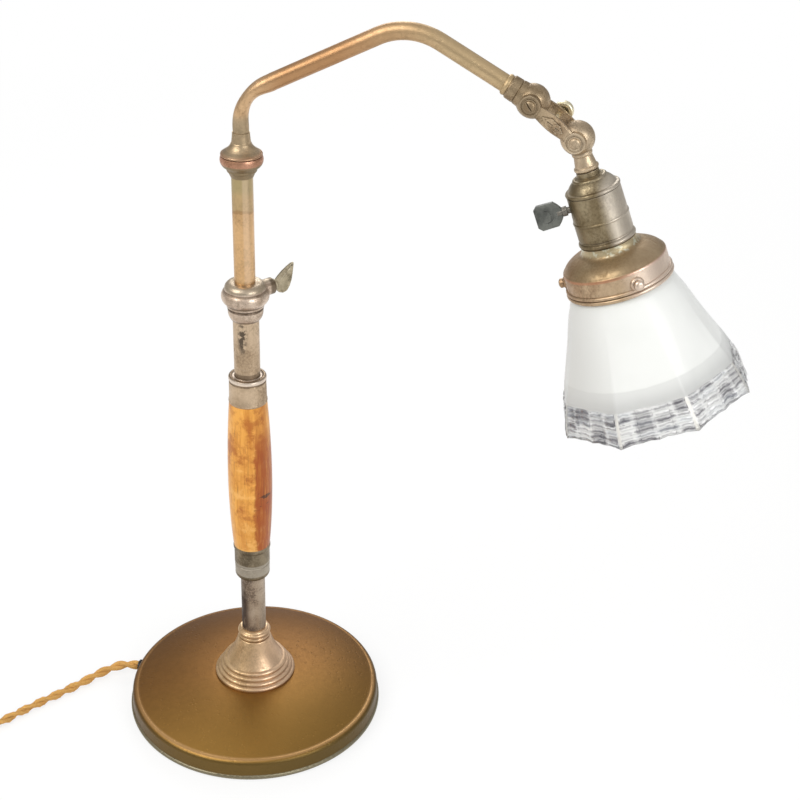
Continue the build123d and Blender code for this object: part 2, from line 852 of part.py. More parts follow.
def plug_blades():
    blades = []
    for side in (-1, 1):
        blade = Pos(0, side * blade_pitch / 2, plug_length) * Box(6.35, 1.5, 18.0, align=here)
        blades.append(chamfer(blade.edges().group_by(Axis.Z)[-1], 0.5))
    return plug_plane * Compound(children=blades)


# ---------------------------------------------------------------- assembly

parts = {
    "felt_pad": felt_pad(),
    "base_cover": base_cover(),
    "base_weight": base_weight(),
    "tie_washer": tie_washer(),
    "tie_nut": tie_nut(),
    "tie_pipe": tie_pipe(),
    "cord_bushing": cord_bushing(),
    "pedestal": pedestal(),
    "lower_stem_tube": lower_stem_tube(),
    "lower_ferrule": lower_ferrule(),
    "grip": grip(),
    "upper_ferrule": upper_ferrule(),
    "outer_tube": outer_tube(),
    "clamp_collar": clamp_collar(),
    "clamp_thumbscrew": clamp_thumbscrew(),
    "inner_tube": inner_tube(),
    "guide_bush": guide_bush(),
    "swivel_cup": swivel_cup(),
    "swivel_nipple": swivel_nipple(),
    "swivel_nut": swivel_nut(),
    "arm_collar": arm_collar(),
    "arm_tube": arm_tube(),
    "arm_ferrule": arm_ferrule(),
    "arm_knuckle": arm_knuckle(),
    "link_plate_front": link_plate_front(),
    "link_plate_rear": link_plate_rear(),
    "arm_pivot_screw": arm_pivot_screw(),
    "head_pivot_pin": head_pivot_pin(),
    "bail_screw": bail_screw(),
    "head_knuckle": head_knuckle(),
    "socket_cap": socket_cap(),
    "socket_shell": socket_shell(),
    "socket_liner": socket_liner(),
    "socket_block": socket_block(),
    "screw_shell": screw_shell(),
    "centre_contact": centre_contact(),
    "shade_holder": shade_holder(),
    "shade": shade(),
    "bulb_base": bulb_base(),
    "bulb_globe": bulb_globe(),
    "key_shaft": key_shaft(),
    "key_paddle": key_paddle(),
    "cord_lead": cord_lead(),
    "cord_coil": cord_coil(),
    "cord_tail": cord_tail(),
    "plug_body": plug_body(),
    "plug_blades": plug_blades(),
}
for number, angle in enumerate(shade_screw_angles, start=1):
    parts[f"shade_screw_{number}"] = shade_screw(angle)

os.makedirs("parts", exist_ok=True)
for name, solid in parts.items():
    export_step(solid, f"parts/{name}.step")
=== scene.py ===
"""Swing arm desk lamp: finishes, glass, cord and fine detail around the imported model.

Metres, +Z up. The stem stands on Z, the arm reaches out along +X, and the lamp's front faces -Y.
"""

import json
import math
from functools import partialmethod

import bmesh
import bpy
from mathutils import Euler, Matrix, Vector


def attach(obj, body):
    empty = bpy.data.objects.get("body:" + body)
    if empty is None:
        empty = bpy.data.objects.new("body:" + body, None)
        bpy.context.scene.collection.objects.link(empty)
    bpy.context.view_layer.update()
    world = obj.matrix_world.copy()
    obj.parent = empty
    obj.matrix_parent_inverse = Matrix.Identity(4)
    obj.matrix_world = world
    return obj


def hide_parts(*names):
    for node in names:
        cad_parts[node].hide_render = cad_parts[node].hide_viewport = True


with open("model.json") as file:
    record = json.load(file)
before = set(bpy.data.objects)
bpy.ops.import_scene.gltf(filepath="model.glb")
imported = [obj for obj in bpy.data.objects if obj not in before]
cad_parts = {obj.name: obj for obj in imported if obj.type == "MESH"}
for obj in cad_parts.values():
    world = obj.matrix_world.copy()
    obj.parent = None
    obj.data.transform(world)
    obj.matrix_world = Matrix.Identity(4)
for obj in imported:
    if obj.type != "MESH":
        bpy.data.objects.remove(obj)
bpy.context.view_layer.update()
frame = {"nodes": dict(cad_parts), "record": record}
nodes = frame["nodes"]
scene = bpy.context.scene
MM = 0.001
FULL_TURN = 2 * math.pi
WHITE = (1.0, 1.0, 1.0, 1.0)


# ---- helpers


def add_object(name, data):
    made = bpy.data.objects.new(name, data)
    scene.collection.objects.link(made)
    return made


def finish_mesh(name, bm, *materials, matrix=None, smooth=True):
    """A mesh object at the origin, from a bmesh that a matrix may bring into the lamp's frame."""
    if matrix:
        bmesh.ops.transform(bm, matrix=matrix, verts=bm.verts)
    mesh = bpy.data.meshes.new(name)
    bm.to_mesh(mesh)
    bm.free()
    for material in materials:
        mesh.materials.append(material)
    for face in mesh.polygons:
        face.use_smooth = smooth
    return add_object(name, mesh)


def joint_place(name):
    """Where the record puts a joint."""
    joints = frame["record"]["behaviour"]["joints"]
    return Vector(next(joint["pos_m"] for joint in joints if joint["name"] == name))


def spin_outline(bm, outline, steps, closed=True):
    """Turns an outline of (radius, height) right round Z."""
    verts = [bm.verts.new((radius, 0.0, height)) for radius, height in outline]
    following = verts[1:] + verts[:1] if closed else verts[1:]
    edges = [bm.edges.new(pair) for pair in zip(verts, following)]
    centre = {"cent": (0.0, 0.0, 0.0), "axis": (0.0, 0.0, 1.0)}
    bmesh.ops.spin(bm, geom=verts + edges, angle=FULL_TURN, steps=steps, use_merge=True, **centre)


def soften(bm, sharp, offset, segments):
    """Rounds every edge that is sharper than an angle in degrees."""
    corners = [edge for edge in bm.edges if edge.calc_face_angle(0.0) > math.radians(sharp)]
    settings = {"offset_type": "OFFSET", "profile": 0.5, "affect": "EDGES", "material": -1}
    bmesh.ops.bevel(bm, geom=corners, offset=offset, segments=segments, **settings)


# ---- view and light

CAMERA_AT = Vector((0.2959, -0.7893, 0.7152))
CAMERA_PITCH = 29.4
CAMERA_HEADING = 14.0
CAMERA_ROLL = 1.68
CAMERA_LENS = 68.4
# Name, place, point it faces, diameter, watts and colour.
LAMPS = (
    ("key_lamp", (-0.9, -1.1, 1.7), (0.05, 0.0, 0.25), 1.5, 22.0, (1.0, 0.98, 0.95)),
    ("fill_lamp", (1.5, -0.9, 1.0), (0.1, 0.0, 0.25), 1.1, 13.0, (0.98, 0.99, 1.0)),
    ("back_lamp", (-0.3, 1.25, 0.95), (0.0, 0.0, 0.1), 0.8, 5.0, (1.0, 1.0, 1.0)),
)


def set_camera():
    data = bpy.data.cameras.new("camera")
    data.lens = CAMERA_LENS
    data.sensor_width = 36.0
    data.clip_start = 0.01
    scene.camera = add_object("camera", data)
    aim = Euler((math.radians(90.0 - CAMERA_PITCH), 0.0, math.radians(CAMERA_HEADING)))
    roll = Matrix.Rotation(math.radians(CAMERA_ROLL), 4, "Z")
    scene.camera.matrix_world = Matrix.Translation(CAMERA_AT) @ aim.to_matrix().to_4x4() @ roll


def set_lights():
    for name, at, towards, size, power, colour in LAMPS:
        data = bpy.data.lights.new(name, "AREA")
        data.shape = "DISK"
        data.size = size
        data.energy = power
        data.color = colour
        aim = (Vector(towards) - Vector(at)).to_track_quat("-Z", "Y")
        add_object(name, data).matrix_world = Matrix.Translation(at) @ aim.to_matrix().to_4x4()


# ---- cord

CORD_DIAMETER = 6.6 * MM
CORD_EXIT_ANGLE = math.radians(182.0)
CORD_EXIT_RADIUS = 87.4 * MM
CORD_EXIT_HEIGHT = 7.9 * MM
CORD_BUSH_REACH = 8.6 * MM
# The cord's way over the table, before and after the coil.
CORD_LEAD = (
    (-104.2, -6.9, 6.2), (-113.1, -14.9, 4.2), (-124.8, -33.6, 3.3), (-143.6, -59.5, 3.3), (-165.5, -95.5, 3.3),
    (-187.0, -128.2, 3.3),
)
CORD_TAIL = ((-258.8, -99.0, 22.6), (-254.8, -78.0, 18.6), (-247.5, -56.4, 13.8), (-240.9, -36.4, 13.8))
COIL_CENTRE = Vector((-225.0, -120.0, 0.0)) * MM
COIL_START = math.radians(327.0)
COIL_TURNS = 7.45
COIL_COLUMNS = (36.3 * MM, 29.6 * MM)
COIL_POINTS = 16
# Column of each turn, from the floor up: the cord is wound out, in, in, out, out, in, in, out.
COIL_SLOTS = ((0, 0), (1, 0), (1, 1), (0, 1), (0, 2), (1, 2), (1, 3), (0, 3))
# Share of a turn at which it leaves for its next slot, the share that this takes, and how far it swings aside.
COIL_MOVE_FROM = 0.8
COIL_MOVE = 0.2
COIL_BULGE = 3.4 * MM
STRAND_RADIUS = CORD_DIAMETER * 0.27
STRAND_SIDES = 10
STRAND_PITCH = 25.0 * MM


def coil_points():
    """The wound turns, clockwise: each turn stays in its slot and moves to the next just before its end."""
    step = FULL_TURN / COIL_POINTS
    # The curve runs inside its control points, which lie this much further out.
    overshoot = 1.0 / (0.75 + 0.25 * math.cos(step))
    points = []
    for index in range(int(COIL_TURNS * COIL_POINTS) + 1):
        turn, part = divmod(index, COIL_POINTS)
        share = max(0.0, (part / COIL_POINTS - COIL_MOVE_FROM) / COIL_MOVE)
        share = share * share * (3 - 2 * share)
        column, layer = COIL_SLOTS[turn]
        next_column, next_layer = COIL_SLOTS[min(turn + 1, len(COIL_SLOTS) - 1)]
        radius = COIL_COLUMNS[column] * (1 - share) + COIL_COLUMNS[next_column] * share
        level = layer * (1 - share) + next_layer * share
        if next_layer > layer:
            bulge = COIL_BULGE * math.sin(math.pi * share)
            radius += bulge if column == 0 else -bulge
        angle = COIL_START - index * step
        height = CORD_DIAMETER * (level + 0.5)
        out = radius * overshoot
        points.append(COIL_CENTRE + Vector((out * math.cos(angle), out * math.sin(angle), height)))
    return points


def cord_route():
    """Control points of the whole cord: out of the foot, down to the table, round the coil and up to the plug."""
    points = []
    for distance in (CORD_EXIT_RADIUS, CORD_EXIT_RADIUS + CORD_BUSH_REACH):
        along, aside = distance * math.cos(CORD_EXIT_ANGLE), distance * math.sin(CORD_EXIT_ANGLE)
        points.append(Vector((along, aside, CORD_EXIT_HEIGHT)))
    lead, tail = ([Vector(point) * MM for point in way] for way in (CORD_LEAD, CORD_TAIL))
    return [*points, *lead, *coil_points(), *tail]


def curve_line(points):
    """Points read along a smooth open curve with these control points."""
    curve = bpy.data.curves.new("cord_route", "CURVE")
    curve.dimensions = "3D"
    curve.resolution_u = 8
    spline = curve.splines.new("NURBS")
    spline.points.add(len(points) - 1)
    for place, point in zip(spline.points, points):
        place.co = (*point, 1.0)
    spline.order_u = 3
    spline.use_endpoint_u = True
    holder = add_object("cord_route", curve)
    bpy.context.view_layer.update()
    mesh = bpy.data.meshes.new_from_object(holder)
    line = [vertex.co.copy() for vertex in mesh.vertices]
    bpy.data.meshes.remove(mesh)
    bpy.data.objects.remove(holder)
    return line


def line_frames(line):
    """Distance and two crosswise directions at each point, carried along without twisting."""
    frames = []
    side = Vector((0, 0, 1))
    travelled = 0.0
    for index, point in enumerate(line):
        ahead = (line[min(index + 1, len(line) - 1)] - line[max(index - 1, 0)]).normalized()
        side = (side - ahead * side.dot(ahead)).normalized()
        if index:
            travelled += (point - line[index - 1]).length
        frames.append((travelled, side.copy(), ahead.cross(side)))
    return frames


def strand_rings(bm, line, frames, start):
    """Rings of vertices along one strand, which begins at an angle and winds round the cord's middle."""
    rings = []
    for point, (travelled, side, over) in zip(line, frames):
        turn = FULL_TURN * travelled / STRAND_PITCH + start
        lay = CORD_DIAMETER / 2 - STRAND_RADIUS
        middle = point + (side * math.cos(turn) + over * math.sin(turn)) * lay
        ring = []
        for corner in range(STRAND_SIDES):
            angle = turn + FULL_TURN * corner / STRAND_SIDES
            outward = side * math.cos(angle) + over * math.sin(angle)
            ring.append(bm.verts.new(middle + outward * STRAND_RADIUS))
        rings.append((travelled, ring))
    return rings


def twisted_cord(name, line):
    """Two cloth-covered strands laid round each other, as one mesh with its length in U."""
    bm = bmesh.new()
    uv = bm.loops.layers.uv.new("UVMap")
    frames = line_frames(line)
    for strand in (0, 1):
        rings = strand_rings(bm, line, frames, math.pi * strand)
        for (start, ring), (stop, following) in zip(rings, rings[1:]):
            low, high = start / CORD_DIAMETER, stop / CORD_DIAMETER
            for corner in range(STRAND_SIDES):
                after = (corner + 1) % STRAND_SIDES
                face = bm.faces.new((ring[corner], ring[after], following[after], following[corner]))
                near, far = corner / STRAND_SIDES, (corner + 1) / STRAND_SIDES
                for loop, place in zip(face.loops, ((low, near), (low, far), (high, far), (high, near))):
                    loop[uv].uv = place
        for _, ring in (rings[0], rings[-1]):
            bm.faces.new(ring)
    bmesh.ops.recalc_face_normals(bm, faces=bm.faces)
    return finish_mesh(name, bm, FINISHES["cord_cloth"])


def make_cord():
    line = curve_line(cord_route())
    cord = twisted_cord("mains_cord", line)
    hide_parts("cord_lead", "cord_coil", "cord_tail")
    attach(cord, "base")


# ---- the head's axis and the shade's measures

HEAD_TILT = math.radians(21.0)


def head_matrix():
    """From the head's own axis in millimetres, running down out of its knuckle, to the lamp's frame."""
    across, down = math.cos(HEAD_TILT), math.sin(HEAD_TILT)
    tilt = Matrix(((across, 0.0, down), (0.0, -1.0, 0.0), (down, 0.0, -across)))
    return Matrix.Translation(joint_place("head_tilt")) @ tilt.to_4x4() @ Matrix.Scale(MM, 4)


SHADE_PANELS = 8
SHADE_TURN = math.radians(13.0)
HALF_PANEL = math.pi / SHADE_PANELS
# Distance from the knuckle, half width across the flats, softness of the corners.
SHADE_STATIONS = (
    (88.0, 29.6, 0.97), (102.0, 34.9, 0.93), (114.0, 38.8, 0.84), (126.0, 43.0, 0.68), (138.0, 47.0, 0.44),
    (150.0, 50.4, 0.2), (163.0, 53.0, 0.05),
)
SHADE_TOP = 76.8
SHADE_MOUTH = SHADE_STATIONS[-1][0]
SHADE_WALL = 3.2
RIM_TOP = 144.0
RIM_ROWS = 6
COLUMNS_PER_PANEL = 4
RIM_START = (RIM_TOP - SHADE_TOP) / (SHADE_MOUTH - SHADE_TOP)
# Steps of each panel, as shares of its width: a plain ridge at each corner, and two steps to a column of blocks.
PANEL_STEPS = (0.0, 0.035, 0.15125, 0.2675, 0.38375, 0.5, 0.61625, 0.7325, 0.84875, 0.965)
BLOCKS_SPAN = 0.93
SHADE_STEPS = SHADE_PANELS * len(PANEL_STEPS)


# ---- node helpers


def colour_of(code):
    """Linear RGBA of a six-figure colour code."""
    parts = [int(code[at : at + 2], 16) / 255.0 for at in (0, 2, 4)]
    return tuple(part / 12.92 if part <= 0.04045 else ((part + 0.055) / 1.055) ** 2.4 for part in parts) + (1.0,)


class Value:
    """What a node's socket gives; arithmetic on it places Math nodes in the same tree."""

    def __init__(self, socket):
        self.socket = socket
        self.tree = socket.id_data

    def math(self, operation, other=0.0):
        return put(self.tree, "Math", {0: self, 1: other}, operation=operation)[0]

    __add__ = partialmethod(math, "ADD")
    __sub__ = partialmethod(math, "SUBTRACT")
    __mul__ = partialmethod(math, "MULTIPLY")
    most = partialmethod(math, "MAXIMUM")


class Outputs:
    """A node's outputs by name or number, each as a Value."""

    def __init__(self, node):
        self.node = node

    def __getitem__(self, key):
        return Value(self.node.outputs[key])


def put(tree, kind, inputs=None, **settings):
    """Outputs of a new node with its settings, and its inputs given as plain values or as Values to link."""
    made = tree.nodes.new("ShaderNode" + kind)
    for name, value in settings.items():
        setattr(made, name, value)
    for name, value in (inputs or {}).items():
        if isinstance(value, Value):
            send(value, made.inputs[name])
        else:
            made.inputs[name].default_value = value
    return Outputs(made)


def send(value, socket):
    value.tree.links.new(value.socket, socket)


def here(tree):
    """The place of the shaded point in its object's own coordinates."""
    return put(tree, "TexCoord")["Object"]


def on_map(tree):
    """The two measures of the shaded point's UV map."""
    return parts(put(tree, "TexCoord")["UV"])[:2]


def parts(vector):
    split = put(vector.tree, "SeparateXYZ", {0: vector})
    return split["X"], split["Y"], split["Z"]


def cell_of(tree, *numbers):
    """One random draw for each whole-numbered cell."""
    cell = put(tree, "CombineXYZ", {at: number.math("FLOOR") for at, number in enumerate(numbers)})[0]
    return put(tree, "TexWhiteNoise", {"Vector": cell})


def vectors(operation, first, second, output="Vector"):
    return put(first.tree, "VectorMath", {0: first, 1: second}, operation=operation)[output]


def scaled(vector, factors):
    return vectors("MULTIPLY", vector, factors)


def dot(vector, direction):
    return vectors("DOT_PRODUCT", vector, direction, "Value")


def length(vector):
    return put(vector.tree, "VectorMath", {0: vector}, operation="LENGTH")["Value"]


def clouds(place, scale, detail, roughness=0.5):
    inputs = {"Vector": place, "Scale": scale, "Detail": detail, "Roughness": roughness}
    return put(place.tree, "TexNoise", inputs)


def noise(place, scale, detail, roughness=0.5):
    return clouds(place, scale, detail, roughness)["Fac"]


def specks(place, scale):
    """Distance to the nearest of many scattered points."""
    return put(place.tree, "TexVoronoi", {"Vector": place, "Scale": scale})["Distance"]


def ramp(value, low, high, start=0.0, stop=1.0):
    """A value's range low to high, eased on to start to stop."""
    inputs = {"Value": value, "From Min": low, "From Max": high, "To Min": start, "To Max": stop}
    return put(value.tree, "MapRange", inputs, interpolation_type="SMOOTHSTEP")["Result"]


def blend(share, first, second, how="MIX"):
    """Two colours mixed; output 2 of the node is the one for colours."""
    tree = next(item.tree for item in (share, first, second) if isinstance(item, Value))
    return put(tree, "Mix", {"Factor": share, 6: first, 7: second}, data_type="RGBA", blend_type=how)[2]


def paint(colour, share, code):
    return blend(share, colour, colour_of(code))


def wash(colour, value, low, high, most, code):
    """Paints a colour over as a value goes from low to high, up to a share of most."""
    return paint(colour, ramp(value, low, high, 0.0, most), code)


def new_group(name, inputs, *outputs):
    """A node group's tree, what it is given and its output sockets; Colour and any tuple stand for colours."""
    tree = bpy.data.node_groups.new(name, "ShaderNodeTree")
    for socket, default in inputs.items():
        kind = "NodeSocketColor" if isinstance(default, tuple) else "NodeSocketFloat"
        tree.interface.new_socket(name=socket, in_out="INPUT", socket_type=kind).default_value = default
    for socket in outputs:
        kind = "NodeSocketColor" if socket == "Colour" else "NodeSocketFloat"
        tree.interface.new_socket(name=socket, in_out="OUTPUT", socket_type=kind)
    return tree, Outputs(tree.nodes.new("NodeGroupInput")), tree.nodes.new("NodeGroupOutput").inputs


def use_group(tree, group, **values):
    """Outputs of a group's new node; a value's name is its socket's, with _ for a space."""
    return put(tree, "Group", {name.replace("_", " "): value for name, value in values.items()}, node_tree=group)


def new_material(name, **plain):
    """A material with its Principled shader, plain inputs set on it."""
    material = bpy.data.materials.new(name)
    material.use_nodes = True
    shader = material.node_tree.nodes["Principled BSDF"]
    for key, value in plain.items():
        shader.inputs[key.replace("_", " ")].default_value = value
    return material, material.node_tree, shader


def bump(shader, height, strength, distance):
    inputs = {"Height": height, "Strength": strength, "Distance": distance}
    send(put(height.tree, "Bump", inputs)["Normal"], shader.inputs["Normal"])


# ---- node groups

METAL_COLOURS = ("Metal", "Tarnish", "Stain", "Rubbed")
METAL_AMOUNTS = ("Tarnish Amount", "Stain Amount", "Edge Amount", "Dirt Amount", "Scale", "Roughness")


def build_crevice():
    """Where the colour darkens in hollows and where hands rub: recess is 1 in hollows, found by ambient occlusion,
    edge is 1 on outer edges.
    """
    tree, given, out = new_group("crevice_and_edge", {"Recess Width": 0.003, "Edge Width": 0.0006}, "Recess", "Edge")
    settings = {"samples": 8, "only_local": True}
    hollow = put(tree, "AmbientOcclusion", {"Distance": given["Recess Width"]}, **settings)["AO"]
    corner = put(tree, "AmbientOcclusion", {"Distance": given["Edge Width"]}, inside=True, **settings)["AO"]
    send(ramp(hollow, 0.95, 0.35), out["Recess"])
    send(ramp(corner, 0.85, 0.35), out["Edge"])
    return tree


def build_band():
    """1 between two heights of the standing lamp, eased over a softness at each end."""
    inputs = {"Low": 0.0, "High": 0.1, "Softness": 0.001, "Wander": 0.0}
    tree, given, out = new_group("height_band", inputs, "Mask")
    place = here(tree)
    level = parts(place)[2] + (noise(place, 120.0, 3.0) - 0.5) * given["Wander"]
    rise = ramp(level, given["Low"] - given["Softness"], given["Low"])
    fall = ramp(level, given["High"], given["High"] + given["Softness"], 1.0, 0.0)
    send(rise * fall, out["Mask"])
    return tree


def build_patina(crevice):
    """Old metal: clouded tarnish, streaks along the height, dark stains with pits, darker hollows, rubbed edges."""
    inputs = {**dict.fromkeys(METAL_COLOURS, WHITE), **dict.fromkeys(METAL_AMOUNTS, 0.5)}
    tree, given, out = new_group("old_metal", inputs, "Colour", "Roughness", "Height")
    place, scale = here(tree), given["Scale"]
    cloud = clouds(place, scale, 6.0, 0.62)
    streak = noise(scaled(place, (1.0, 1.0, 0.18)), scale * 3.0, 4.0, 0.55)
    fine = noise(place, scale * 16.0, 4.0, 0.6)
    tarnished = ramp(cloud["Fac"] + streak * 0.45, 0.6, 0.86)
    blot = cloud["Color"] + fine * 0.35
    pitted = ramp(specks(place, scale * 22.0), 0.3, 0.12) * ramp(blot, 0.56, 0.76)
    spotted = ramp(blot, 0.66, 0.84).most(pitted)
    marks = use_group(tree, crevice)
    colour = blend(tarnished * given["Tarnish Amount"], given["Metal"], given["Tarnish"])
    colour = blend(spotted * given["Stain Amount"], colour, given["Stain"])
    grain = blend(ramp(fine, 0.3, 0.7, 0.0, 0.35), WHITE, (0.72, 0.72, 0.72, 1.0))
    colour = blend(1.0, colour, grain, "MULTIPLY")
    darker_hollows = marks["Recess"] * given["Dirt Amount"]
    colour = blend(darker_hollows, colour, blend(0.8, colour, given["Stain"]))
    worn = marks["Edge"] * given["Edge Amount"] * ramp(streak, 0.32, 0.55)
    send(blend(worn, colour, given["Rubbed"]), out["Colour"])
    rough = given["Roughness"] + tarnished * 0.1 + spotted.most(darker_hollows) * 0.18 - worn * 0.1
    send(rough + fine * 0.08, out["Roughness"])
    send(fine * 0.5 - pitted * 0.8, out["Height"])
    return tree


def build_wood(crevice):
    """Varnished turned wood: grain along the height, blots, a red streak low on the right, pores, checks, nicks."""
    inputs = {"Light": WHITE, "Deep": WHITE, "Vein": WHITE, "Scale": 60.0}
    tree, given, out = new_group("turned_wood", inputs, "Colour", "Roughness", "Height")
    place = here(tree)
    place = vectors("ADD", place, scaled(clouds(place, 14.0, 2.0)["Color"], (0.006, 0.006, 0.0)))
    tall, slim = scaled(place, (1.0, 1.0, 0.07)), scaled(place, (1.0, 1.0, 0.028))
    rings = noise(tall, given["Scale"], 5.0, 0.55)
    hairs = noise(tall, given["Scale"] * 9.0, 3.0, 0.7)
    blots = noise(place, 75.0, 6.0, 0.65)
    colour = blend(ramp(rings, 0.4, 0.62), given["Light"], given["Deep"])
    colour = blend(ramp(hairs, 0.44, 0.68, 0.0, 0.6), colour, given["Deep"])
    colour = wash(colour, blots, 0.5, 0.66, 0.8, "a85c1a")
    colour = wash(colour, blots, 0.48, 0.34, 0.65, "efb868")
    across, _, height = parts(place)
    wander = (blots - 0.5) * 0.014 + (rings - 0.5) * 0.01
    streak = ramp(height, 0.232, 0.205) * ramp(hairs, 0.3, 0.55, 0.55, 1.0)
    streak = ramp(across + wander, 0.0085, 0.012) * streak
    colour = paint(colour, streak * 0.9, "9a4508")
    pore = ramp(specks(slim, given["Scale"] * 14.0), 0.2, 0.08) * ramp(hairs, 0.4, 0.62)
    colour = blend(pore * 0.7, colour, given["Vein"])
    split = ramp(noise(slim, 420.0, 1.0), 0.7, 0.74) * ramp(rings, 0.45, 0.6)
    colour = blend(split, colour, given["Vein"])
    nick = noise(scaled(place, (1.0, 1.0, 3.2)), 60.0, 6.0, 0.6)
    lower = ramp(height, 0.182, 0.176) * ramp(height, 0.158, 0.166)
    colour = blend(ramp(nick, 0.57, 0.62) * (lower * streak), colour, given["Vein"])
    marks = use_group(tree, crevice, Recess_Width=0.004)
    send(blend(marks["Recess"] * 0.7, colour, given["Vein"]), out["Colour"])
    send(hairs * 0.16 + 0.27, out["Roughness"])
    send(hairs * 0.35 - pore.most(split), out["Height"])
    return tree


def build_braid():
    """Cloth braid on a strand: two sets of slanting threads, from a UV map of length and turn."""
    inputs = {"Thread": WHITE, "Shadow": WHITE, "Along": 11.0, "Around": 8.0}
    tree, given, out = new_group("cloth_braid", inputs, "Colour", "Height")
    along, around = on_map(tree)
    along, around = along * given["Along"], around * given["Around"]
    threads = [(slant * FULL_TURN).math("SINE").math("ABSOLUTE") for slant in (along + around, along - around)]
    height = threads[0] * threads[1]
    place = here(tree)
    fuzz = noise(place, 1600.0, 2.0)
    colour = blend(ramp(height, 0.0, 0.45, 0.75, 0.0), given["Thread"], given["Shadow"])
    colour = blend(ramp(noise(place, 60.0, 4.0), 0.45, 0.75, 0.0, 0.45), colour, given["Shadow"])
    send(wash(colour, fuzz, 0.4, 0.7, 0.3, "f7d69c"), out["Colour"])
    send(height + fuzz * 0.3, out["Height"])
    return tree


CREVICE = build_crevice()
BAND = build_band()
OLD_METAL = build_patina(CREVICE)
TURNED_WOOD = build_wood(CREVICE)
CLOTH_BRAID = build_braid()


# ---- metals

# Metal, tarnish, stain and rubbed edge colours; tarnish, stain, edge and hollow-darkening amounts; pattern scale,
# roughness.
METALS = {
    "bronze": ("886030", "7f5a2c", "5a3d1b", "c08a5c", 0.5, 0.0, 0.0, 0.5, 14.0, 0.42),
    "foot_brass": ("dcbb90", "b39368", "6f5436", "f0dcc0", 0.6, 0.3, 0.5, 0.7, 45.0, 0.26),
    "tarnished_nickel": ("bfae9a", "93806c", "3f3030", "cdbda6", 0.7, 0.6, 0.3, 0.5, 55.0, 0.32),
    "ferrule_metal": ("93866f", "6c604d", "40372a", "bdb29e", 0.7, 0.35, 0.6, 0.6, 50.0, 0.34),
    "worn_nickel": ("cdb598", "ab9275", "66543f", "ecdcc6", 0.6, 0.35, 0.6, 0.6, 45.0, 0.3),
    "collar_nickel": ("decab6", "b09a85", "4e3c2c", "f0e0d0", 0.7, 0.35, 0.6, 1.3, 70.0, 0.3),
    "thumb_nickel": ("c0b398", "968b72", "4a3e2e", "e0d5be", 0.65, 0.45, 0.75, 0.8, 90.0, 0.34),
    "tube_brass": ("dbb280", "b9966c", "7c6244", "e8cba4", 0.6, 0.2, 0.4, 0.5, 40.0, 0.26),
    "copper_bronze": ("c49378", "9c7658", "60422c", "e2b696", 0.55, 0.3, 0.5, 0.7, 60.0, 0.3),
    "arm_bronze": ("d8b48a", "b2926b", "5e4830", "dcbd96", 0.7, 0.3, 0.5, 0.65, 32.0, 0.32),
    "knuckle_brass": ("c9b292", "937b60", "4a3826", "ecdcc0", 0.75, 0.6, 0.85, 1.1, 80.0, 0.34),
    "bail_brass": ("f4e9c8", "d0bf92", "6e6249", "fcf5e0", 0.4, 0.15, 0.5, 0.9, 70.0, 0.3),
    "socket_bronze": ("a29478", "7a6a4e", "4a3d2b", "d8c8b0", 0.8, 0.45, 0.75, 1.0, 40.0, 0.3),
    "holder_bronze": ("c4ab8c", "9f8163", "4a3824", "d4ac8c", 0.75, 0.35, 0.6, 0.7, 40.0, 0.32),
    "bulb_metal": ("b9ab8a", "948666", "5a4e38", "d6c8a4", 0.4, 0.2, 0.4, 0.5, 60.0, 0.28),
    "blade_brass": ("c2a468", "9c8250", "5e4c2e", "dcc088", 0.45, 0.25, 0.5, 0.5, 60.0, 0.28),
    "steel_hardware": ("8c8880", "6d675e", "3c3833", "a9a59c", 0.6, 0.4, 0.5, 0.6, 60.0, 0.36),
}
METALLIC = 0.88
# Repainted bands of height: low, high and softness in mm, colour, amount, and how far the edges wander in mm.
HEIGHT_BANDS = {
    "bronze": ((-5.0, 3.4, 0.8, "8a8470", 0.8, 1.0),),
    "ferrule_metal": ((110.0, 118.2, 0.6, "b8b0a2", 0.65, 0.6),),
    # Worn nickel: a painted highlight on the rolled ring, painted shadow above it and painted shade in the groove
    # below it.
    "worn_nickel": (
        (256.2, 258.4, 0.3, "f4e6d8", 0.65, 0.3), (258.6, 261.5, 0.8, "5c4a38", 0.65, 0.6),
        (254.6, 255.9, 0.2, "5c4a38", 0.6, 0.2),
    ),
    # Clamp collar: its dark bands are painted shade in its grooves.
    "collar_nickel": (
        (305.0, 306.9, 0.3, "4a3828", 0.7, 0.3), (308.2, 309.3, 0.3, "5a4632", 0.6, 0.3),
        (317.2, 318.2, 0.4, "6c5844", 0.45, 0.4), (319.5, 330.0, 1.0, "a39780", 0.6, 0.5),
        (296.0, 299.0, 0.5, "6c5844", 0.5, 0.5),
    ),
    "tube_brass": (
        (371.0, 400.0, 3.0, "a89a74", 0.5, 8.0), (384.0, 400.0, 6.0, "8f8f68", 0.4, 6.0),
        (369.0, 370.2, 1.0, "8a5f38", 0.4, 9.0),
    ),
    "copper_bronze": ((380.0, 399.2, 0.4, "857a5e", 0.82, 0.5),),
    "arm_bronze": (
        (400.0, 405.4, 0.4, "b08063", 0.75, 0.4), (405.9, 406.9, 0.4, "7c5c42", 0.55, 0.3),
        (407.5, 424.0, 6.0, "98907a", 0.55, 4.0),
    ),
}


def height_band(tree, low, high, softness, wander):
    inputs = {"Low": low, "High": high, "Softness": softness, "Wander": wander}
    return use_group(tree, BAND, **{name: size * MM for name, size in inputs.items()})["Mask"]


def paint_bands(colour, name):
    """Repaints a metal's bands of height."""
    for low, high, softness, code, amount, wander in HEIGHT_BANDS.get(name, ()):
        colour = paint(colour, height_band(colour.tree, low, high, softness, wander) * amount, code)
    return colour


def from_stem(tree):
    """Distance from the stem's axis."""
    return length(scaled(here(tree), (1.0, 1.0, 0.0)))


